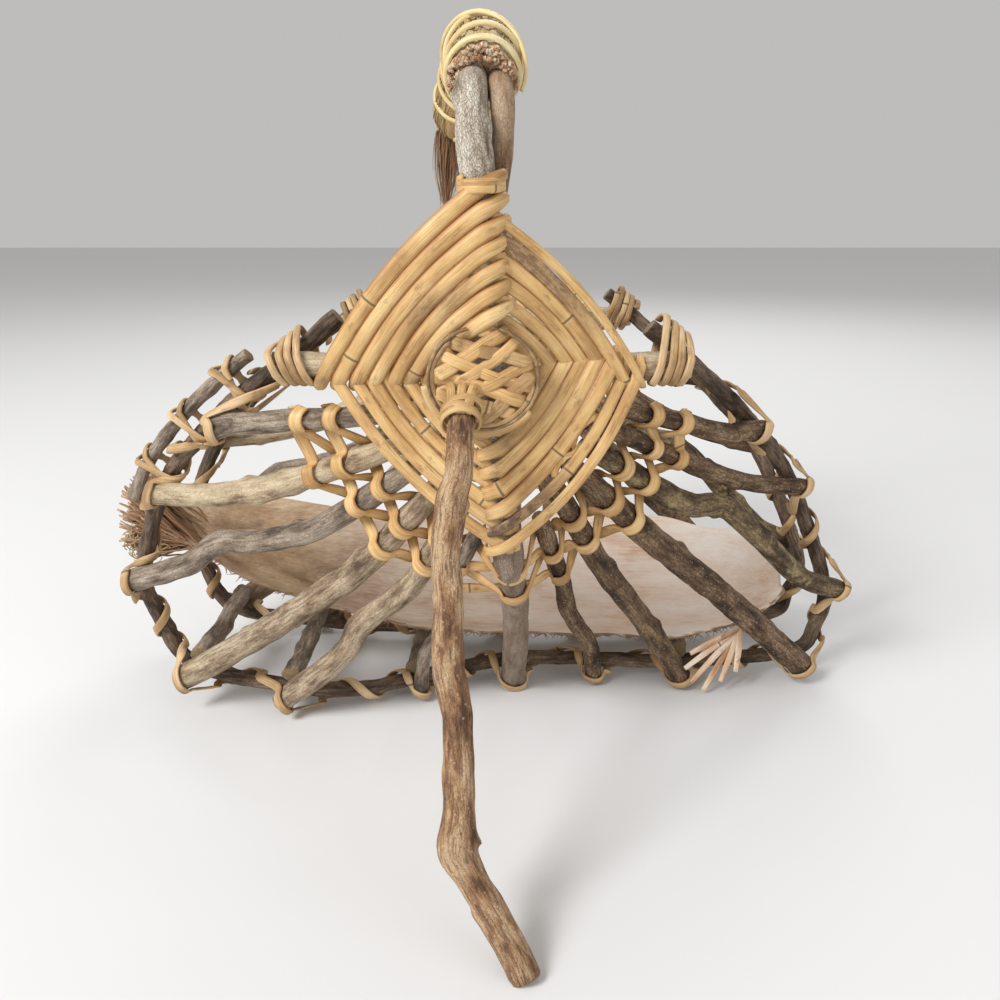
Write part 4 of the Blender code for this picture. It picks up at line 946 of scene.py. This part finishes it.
def husk_fibre(name, dark, body, light, warm=None):
    """Palm husk: matted fibres that run along the grip, brown with straw-coloured strands."""
    material, tree, place, tone = new_material(name)
    fibres = noise(tree, stretched(tree, place, 0.05), 1300, 5, 0.7, 0.6)
    mats = noise(tree, stretched(tree, place, 0.3), 140, 4, 0.6)
    colour = ramp(tree, fibres, [(0.34, dark), (0.5, body), (0.66, light)])
    colour = mix(tree, mats, colour, body)
    if warm:
        far = fade(tree, add(tree, "SeparateXYZ", {"Vector": place}).outputs["X"], 0.46, 0.56, 0.0, 0.75)
        colour = mix(tree, far, colour, mix(tree, fibres, dimmed(warm, 0.35), warm))
    # where tone is 1 the cut face shows cream and rust crumbs; its near-black stop is painted shade in the
    # holes between the cut fibre ends
    crumbs_and_hole_shade = ramp(tree, noise(tree, place, 260, 3, 0.7),
                  [(0.34, (0.075, 0.032, 0.018)), (0.42, (0.38, 0.17, 0.07)),
                   (0.50, (0.66, 0.40, 0.22)), (0.60, (0.86, 0.76, 0.60))])
    colour = mix(tree, tone, colour, crumbs_and_hole_shade)
    return finished(material, colour, 0.9, fibres, 0.9, 0.0012)


def husk_size(y, a):
    """Radius of the sleeve at y and the angle a from its top.

    HUSK_R less 0.8 and two sums of waves; less below, most of all at the near end; up to 3.6 more on
    one side around y 70; and 0.8 and 1.8 less at the two ends.
    """
    below = np.clip(-np.cos(a), 0, 1) ** 1.5
    size = HUSK_R - 0.8 + wander(y, a, 601, (30, 90), (0, 4)) * 0.45
    size = size + wander(y, a, 602, (50, 200), (8, 22)) * 0.3
    size = size * (1 - below * (0.10 + 0.36 * np.exp(-((y + GRIP_REACH) / 26) ** 2)))
    size = size + 3.6 * np.exp(-((y - 70) / 34) ** 2) * np.clip(-np.sin(a + 0.5), 0, 1)
    return size - 0.8 * np.exp(-((y + GRIP_REACH) / 3) ** 2) - 1.8 * np.exp(-((y - GRIP_BACK) / 6) ** 2)


def round_grip(y, a, reach):
    """Points at the distance reach from the grip's middle line, with their outward directions."""
    spot, ahead, up, right = grip_frame(y)
    outward = right * np.sin(a)[..., None] + up * np.cos(a)[..., None]
    return spot + outward * reach[..., None], outward


husk = husk_fibre("palm husk", (0.24, 0.155, 0.075), (0.60, 0.46, 0.25), (0.80, 0.69, 0.46),
                  (1.0, 0.68, 0.30))
red_husk = husk_fibre("loose husk", (0.17, 0.075, 0.035), (0.40, 0.22, 0.115), (0.60, 0.42, 0.26))
y = np.linspace(-GRIP_REACH, GRIP_BACK, 130)[:, None] + np.zeros((1, 72))
a = circle(72) + 0 * y
size = husk_size(y, a)
sleeve, _ = round_grip(y, a, size)
# tone 1 at both ends and on their hollow faces gives the cut-face crumbs, with painted shade in the holes
# among them
tone = 0.8 * np.exp(-((y + GRIP_REACH) / 1.0) ** 2) + np.exp(-((y - GRIP_BACK) / 1.2) ** 2)
# each end turns in to a hollow face round the sticks
for k, where, depths in ((0, -GRIP_REACH, (0.5, 4.0, 9.0)), (-1, GRIP_BACK, (0.4, 1.6, 2.6))):
    middle = grip_at(where)
    rims = np.array([middle + (sleeve[k] - middle) * share + (0, -math.copysign(depth, where), 0)
                     for share, depth in zip((0.90, 0.60, 0.35), depths)])
    shares = np.array([0.90, 0.60, 0.35])[:, None]
    if k == 0:
        sleeve, y = np.vstack([rims[::-1], sleeve]), np.vstack([y[0] + shares[::-1], y])
        size, tone = np.vstack([(size[0] * shares)[::-1], size]), np.vstack([np.ones((3, 72)), tone])
    else:
        sleeve, y = np.vstack([sleeve, rims]), np.vstack([y, y[-1] - shares])
        size, tone = np.vstack([size, size[-1] * shares]), np.vstack([tone, np.ones((3, 72))])
a = np.broadcast_to(a[0], y.shape)
grain = np.stack([y + 500, size * np.sin(a), size * np.cos(a)], axis=-1)
strands("grip_husk_fibre", sleeve[None], grain[None], np.clip(tone, 0, 1)[None], husk, "grip_husk",
        "palm_husk")

# cut ends of fibres crowd the near face
dice = np.random.default_rng(640)
count = 420
a = dice.uniform(-2.5, 1.25, count)
share = np.sqrt(dice.uniform(0.46, 1.0, count))
depth = np.array([7.0, 3.0, 0.4, 0.0]) - dice.uniform(-1.8, 1.8, count)[:, None] * [0.0, 0.3, 1, 1]
lean = 1 + dice.uniform(-0.02, 0.06, count)[:, None] * [0, 0.3, 1, 1.1]
y = np.full((count, 4), -GRIP_REACH)
reach = (husk_size(y[:, 0], a) - 0.5)[:, None] * share[:, None] * lean
lines, _ = round_grip(y, a[:, None] + 0 * y, reach)
lines[..., 1] += depth
radii = dice.uniform(0.6, 1.2, count)[:, None] * [1, 1, 1.05, 0.55]
strands("grip_cut_fibres", *hairs(lines, radii, np.ones(count), 6), husk, None, "palm_husk")

# long loose strands lie along the sleeve
count = 260
start = dice.uniform(-GRIP_REACH, GRIP_BACK - 18, count)
stretch = dice.uniform(14, 60, count)
y = np.minimum(start[:, None] + stretch[:, None] * np.linspace(0, 1, 22), GRIP_BACK + 1.0)
a = (dice.uniform(-2.4, 2.4, count)[:, None] + dice.normal(0, 0.16, (count, 1)) * np.linspace(0, 1, 22)
     + 0.05 * np.sin(y / 9 + start[:, None]))
arch = np.sin(np.linspace(0, np.pi, 22)) ** 0.7
lines, _ = round_grip(y, a, husk_size(y, a) - 0.25 + arch * dice.uniform(0.3, 1.1, count)[:, None])
radii = dice.uniform(0.22, 0.55, count)[:, None] * np.concatenate([[0.4], np.ones(20), [0.3]])
strands("grip_loose_strands", *hairs(lines, radii, (dice.random(count) < 0.15) * 0.8), husk, None,
        "palm_husk")

BINDING_TURNS = 9
a = np.linspace(-2.7, 2 * np.pi * BINDING_TURNS - 2.7, BINDING_TURNS * 48)
share = np.clip((a - 0.9) / (2 * np.pi * BINDING_TURNS - 3.6), 0, 1)
y = 2.6 - GRIP_REACH + (GRIP_REACH + GRIP_BACK - 10) * share
y = y + np.clip((a - 1) / 6, 0, 1) * (2.6 * np.sin(a * 0.5 + 1.0) + 1.6 * np.sin(a * 1.3))
even = np.convolve(np.pad(husk_size(y, a), 12, mode="edge"), np.ones(25) / 25, mode="valid")
line, outward = round_grip(y, a, even + 1.9)
pale_cane = split_cane("pale yellow cane", (0.58, 0.42, 0.18), (0.74, 0.59, 0.30), (0.82, 0.70, 0.42))
wound("grip_binding_cane", line, outward, 3.1, 1.8, pale_cane, "grip_binding", "golden_cane",
      seed=2, dome=0.5)
a = np.linspace(-2.3, 2.0, 60)
y = -60 - 20 * np.sin(a * 0.75 - 0.2)
line, outward = round_grip(y, a, HUSK_R + 2.6 - 1.2 * (a / 2.3) ** 2)
wound("grip_crossing_strand", line, outward, 2.8, 1.6, pale_cane, None, "golden_cane", seed=5, dome=0.5)

spot, ahead, up, right = grip_frame(GRIP_BACK)
start = spot - right * 9.0 - up * 5.0 + ahead * 0.9
core = [(*start, 4.0), (*(start + ahead * 2.5), 6.0), (*(start + ahead * 6.0), 6.8)]
core += [(*(start + drop), r) for drop, r in [((-1.5, 10, -13), 7.2), ((-2.5, 12, -27), 6.0),
                                              ((-3, 11, -40), 3.2), ((-3, 10, -46), 1.4)]]
core = curve(core, 8)
inner = core * (1, 1, 1, 0.72)
stick("husk_tail_fibre", inner, (1, 0, 0), red_husk, 611, "husk_tail", "palm_husk", relief=0.5, wrinkle=0.4,
      knots=0, around=32)
count = 170
t = np.linspace(0, 1, 16)
along = dice.uniform(0, 0.35, count)[:, None] + t * dice.uniform(0.35, 0.85, count)[:, None]
place = np.clip(along, 0, 1) * (len(core) - 1)
spots = np.stack([np.interp(place, np.arange(len(core)), core[:, k]) for k in range(4)], axis=-1)
turn = dice.uniform(0, 2 * np.pi, count)[:, None] + dice.normal(0, 0.5, (count, 1)) * t
reach = np.maximum(spots[..., 3], 3.2) * dice.uniform(0.55, 1.1, count)[:, None] * (1 + 0.35 * t)
lines = spots[..., :3] + np.stack([np.sin(turn) * reach, np.cos(turn) * reach, 0 * reach], axis=-1)
lines[..., 2] -= np.clip(along - 1, 0, 1) * 40
radii = dice.uniform(0.2, 0.5, count)[:, None] * (1 - 0.7 * t)
strands("husk_tail_hairs", *hairs(lines, radii, (dice.random(count) < 0.2) * 0.5), red_husk, None,
        "palm_husk")

# Palm sheath
# The liner is one boat-shaped sheath of a palm leaf: stiff, thin, fibrous, laid in across the basket. Its
# left end is frayed to a fan of fibres, its lower edge is torn.
SHEATH_ROWS = [(-213, 98, 15, 6, 16), (-182, 82, 18, 4, 22), (-148, 63, 27, 6, 34), (-100, 44, 34, 10, 48),
               (-50, 32.5, 36, 10, 56), (0, 28.4, 36, 9, 60), (60, 28.0, 36, 8, 58), (113, 28.2, 35, 6, 56),
               (150, 34, 27, 5, 46), (172, 42.5, 16, 5, 34), (182, 49, 7, 4, 20)]


def palm_sheath(name):
    """Palm sheath: pinkish cream with long brown fibres, darker and browner to the left."""
    material, tree, place, tone = new_material(name)
    fibres = noise(tree, stretched(tree, place, 0.04), 900, 5, 0.65, 0.3)
    blotches = noise(tree, stretched(tree, place, 0.4), 38, 6, 0.65)
    fresh = ramp(tree, blotches, [(0.32, (0.70, 0.48, 0.34)), (0.44, (0.86, 0.70, 0.58)),
                                  (0.60, (0.93, 0.85, 0.77))])
    stale = ramp(tree, blotches, [(0.32, (0.20, 0.12, 0.065)), (0.5, (0.42, 0.28, 0.165)),
                                  (0.66, (0.60, 0.45, 0.30))])
    colour = mix(tree, tone, fresh, stale)
    colour = grained(tree, colour, fibres, 0.5, (0.3, 0.24), (0.7, 0.76))
    return finished(material, colour, 0.62, fibres, 0.6, 0.0008)


def sheath_at(x, v):
    """Middle surface of the sheath: v runs from -1 at its near edge to 1 at its far edge."""
    floor, half, near, far = (np.interp(x, sheath_line[:, 0], sheath_line[:, k]) for k in range(1, 5))
    ragged = 1 + 0.03 * wander(x, 0 * x, 703, (50, 160), (1, 1)) * np.abs(v) ** 6
    rise = np.where(v < 0, near * v * v, far * np.abs(v) ** 2.2)
    ripple = wander(x, v * 2.2, 701, (40, 160), (1, 3)) * 0.6
    return np.stack([x, half * np.where(v > 0, v * 1.12, v) * ragged + 1.0,
                     floor + rise * ragged + ripple], axis=-1)


sheath = palm_sheath("palm sheath")
sheath_line = curve(SHEATH_ROWS, 14)
x, v = np.meshgrid(np.unique(sheath_line[:, 0]), np.linspace(-1, 1, 61), indexing="ij")
middle = sheath_at(x, v)
slope = np.cross(np.gradient(middle, axis=0), np.gradient(middle, axis=1))
slope = unit(slope) * np.sign(slope[..., 2:3] + 1e-9)
thick = 0.5 + 0.5 * np.sqrt(np.clip(1 - np.abs(v) ** 8, 0, 1))[..., None]
top, under = middle + slope * thick, middle - slope * thick
rings = np.concatenate([top[:, ::-1], under], axis=1)
grain = np.concatenate([middle[:, ::-1], middle + (0, 0, 90)], axis=1)
tone = np.clip((-rings[..., 0] + 20) / 150, 0, 1)
v2 = np.concatenate([v[:, ::-1], v], axis=1)
x2 = np.concatenate([x, x], axis=1)
frayed = -0.95 + 0.035 * wander(x2, 0 * x2, 706, (6, 24), (1, 1))
tone = np.maximum(tone, np.clip((frayed - v2) / 0.03, 0, 1.6))
strands("palm_sheath_liner", rings[None], grain[None], np.minimum(tone, 1)[None], sheath, "palm_sheath",
        "palm_sheath")

# the fan of fibres at the left end, blunt and granular at its tips
dice = np.random.default_rng(720)
count = 260
v = dice.uniform(-1, 1, count)
root = sheath_at(dice.uniform(-200, -178, count), v)
spread = dice.uniform(-1, 1, count)
tip = np.stack([-214 - 11 * np.cos(spread * 1.3) - dice.uniform(-3, 3, count),
                2 + v * 17 + dice.normal(0, 2.5, count),
                99 + 27 * np.sin(spread * 1.2) + dice.normal(0, 2.0, count)], axis=-1)
t = np.linspace(0, 1, 12)[:, None]
lines = (root[:, None] * (1 - t) + tip[:, None] * t
         + dice.normal(0, 1.3, (count, 1, 3)) * np.sin(np.pi * t) + dice.normal(0, 0.22, (count, 12, 3)))
radii = dice.uniform(0.35, 0.8, count)[:, None] * np.interp(t[:, 0], (0, 0.8, 0.97, 1), (0.6, 1, 1.5, 0.9))
tones = np.interp(t[:, 0], (0.75, 0.95), (0, 0.8))[None] * dice.uniform(0.3, 1, count)[:, None]
strands("sheath_fan", *hairs(lines, radii, tones, 6), red_husk, None, "palm_sheath")
# a pale ruff at its lower corner
count = 130
root = np.array([-214.0, -8.0, 86.0]) + dice.normal(0, 1, (count, 3)) * (4.5, 5, 4.5)
curl = dice.uniform(0, 2 * np.pi, count)[:, None] + t[:, 0] * dice.uniform(1.5, 3.5, count)[:, None]
swirl = np.stack([-np.cos(curl) * 3.5, np.sin(curl * 0.8) * 3.0, np.sin(curl) * 3.5], axis=-1)
ruff = husk_fibre("pale ruff", (0.42, 0.29, 0.13), (0.68, 0.52, 0.27), (0.84, 0.72, 0.46))
radii = dice.uniform(0.25, 0.5, (count, 12))
strands("sheath_ruff", *hairs(root[:, None] + swirl, radii, np.zeros(count)), ruff, None, "palm_sheath")
# short dark threads along the torn lower edge
count = 420
x = dice.uniform(-176, 178, count)
root = sheath_at(x, np.full(count, -0.985))
way = np.stack([dice.normal(0, 2.2, count), dice.uniform(-1.0, 0.1, count),
                dice.uniform(-0.8, 0.1, count)], axis=-1)
lines = root[:, None] + (unit(way) * dice.uniform(1.5, 6.0, (count, 1)))[:, None] * t
radii = dice.uniform(0.2, 0.45, count)[:, None] * (1 - 0.6 * t[:, 0])
strands("sheath_torn_edge", *hairs(lines, radii, np.zeros(count)), red_husk, None, "palm_sheath")

# Fringe
# The sheath's near corner on the right is torn into narrow strips that poke out under a rib.
FRINGE_ROOT = np.array((150.0, -28.6, 37.0))
FRINGE_TIPS = [(117, -42, 27), (114, -44, 18), (118, -45, 9), (126, -44, 3), (136, -44, 9), (145, -43, 15)]
lines, faces, widths = [], [], []
for tip in FRINGE_TIPS:
    tip = np.array(tip, float)
    line = curve([FRINGE_ROOT - unit(tip - FRINGE_ROOT) * 1.5,
                  FRINGE_ROOT * 0.45 + tip * 0.55 + (0, -1.0, 1.2), tip], 12)
    lines.append(line)
    widths.append(np.interp(np.linspace(0, 1, len(line)), (0, 0.5, 1), (4.2, 3.9, 2.8)))
    faces.append(np.broadcast_to(np.array([0.0, -1.0, 0.25]), line.shape))
parts = lath(np.array(lines), np.array(faces), np.array(widths), 1.0, np.arange(6) * 31.0,
             np.zeros(6), 0.25)
torn = split_cane("torn sheath", (0.46, 0.23, 0.11), (0.72, 0.48, 0.31), (0.86, 0.72, 0.56), 0.6)
strands("sheath_fringe_strips", *parts, torn, "sheath_fringe", "palm_sheath")

# Camera, floor and lights
# The camera looks at the near end from a little above. The floor is plain and pale.
eye = bpy.data.cameras.new("camera")
eye.lens = 30.6
eye.sensor_width = 36.0
eye.clip_start = 0.01
camera = bpy.data.objects.new("camera", eye)
camera.location = ((np.array([3.0, -494.0, 280.0]) + ORIGIN) * MM).tolist()
camera.rotation_euler = (math.radians(71.0), 0.0, 0.0)
bpy.context.scene.collection.objects.link(camera)
bpy.context.scene.camera = camera

ground = bpy.data.meshes.new("floor")
ground.from_pydata([(-6, -6, 0), (6, -6, 0), (6, 6, 0), (-6, 6, 0)], [], [(0, 1, 2, 3)])
stage = bpy.data.objects.new("floor", ground)
plain = bpy.data.materials.new("plain floor")
plain.use_nodes = True
plain.node_tree.nodes["Principled BSDF"].inputs["Base Color"].default_value = (0.74, 0.74, 0.74, 1)
plain.node_tree.nodes["Principled BSDF"].inputs["Roughness"].default_value = 0.9
ground.materials.append(plain)
bpy.context.scene.collection.objects.link(stage)

world = bpy.data.worlds.new("soft light")
world.use_nodes = True
world.node_tree.nodes["Background"].inputs["Color"].default_value = (0.93, 0.92, 0.90, 1)
world.node_tree.nodes["Background"].inputs["Strength"].default_value = 0.55
bpy.context.scene.world = world
for name, place, size, power in (("key", (-1.3, -1.1, 1.5), 0.8, 42.0),
                                 ("fill", (1.5, -1.2, 0.9), 1.4, 7.0),
                                 ("rim", (0.4, 1.5, 1.5), 1.0, 12.0)):
    lamp = bpy.data.lights.new(name, "AREA")
    lamp.size = size
    lamp.energy = power
    shine = bpy.data.objects.new(name, lamp)
    shine.location = place
    to = np.array([0.0, 0.0, 0.16]) - np.array(place)
    shine.rotation_euler = (math.atan2(math.hypot(to[0], to[1]), -to[2]), 0.0,
                            math.atan2(to[1], to[0]) - math.pi / 2)
    bpy.context.scene.collection.objects.link(shine)
bpy.context.scene.view_settings.view_transform = "Standard"
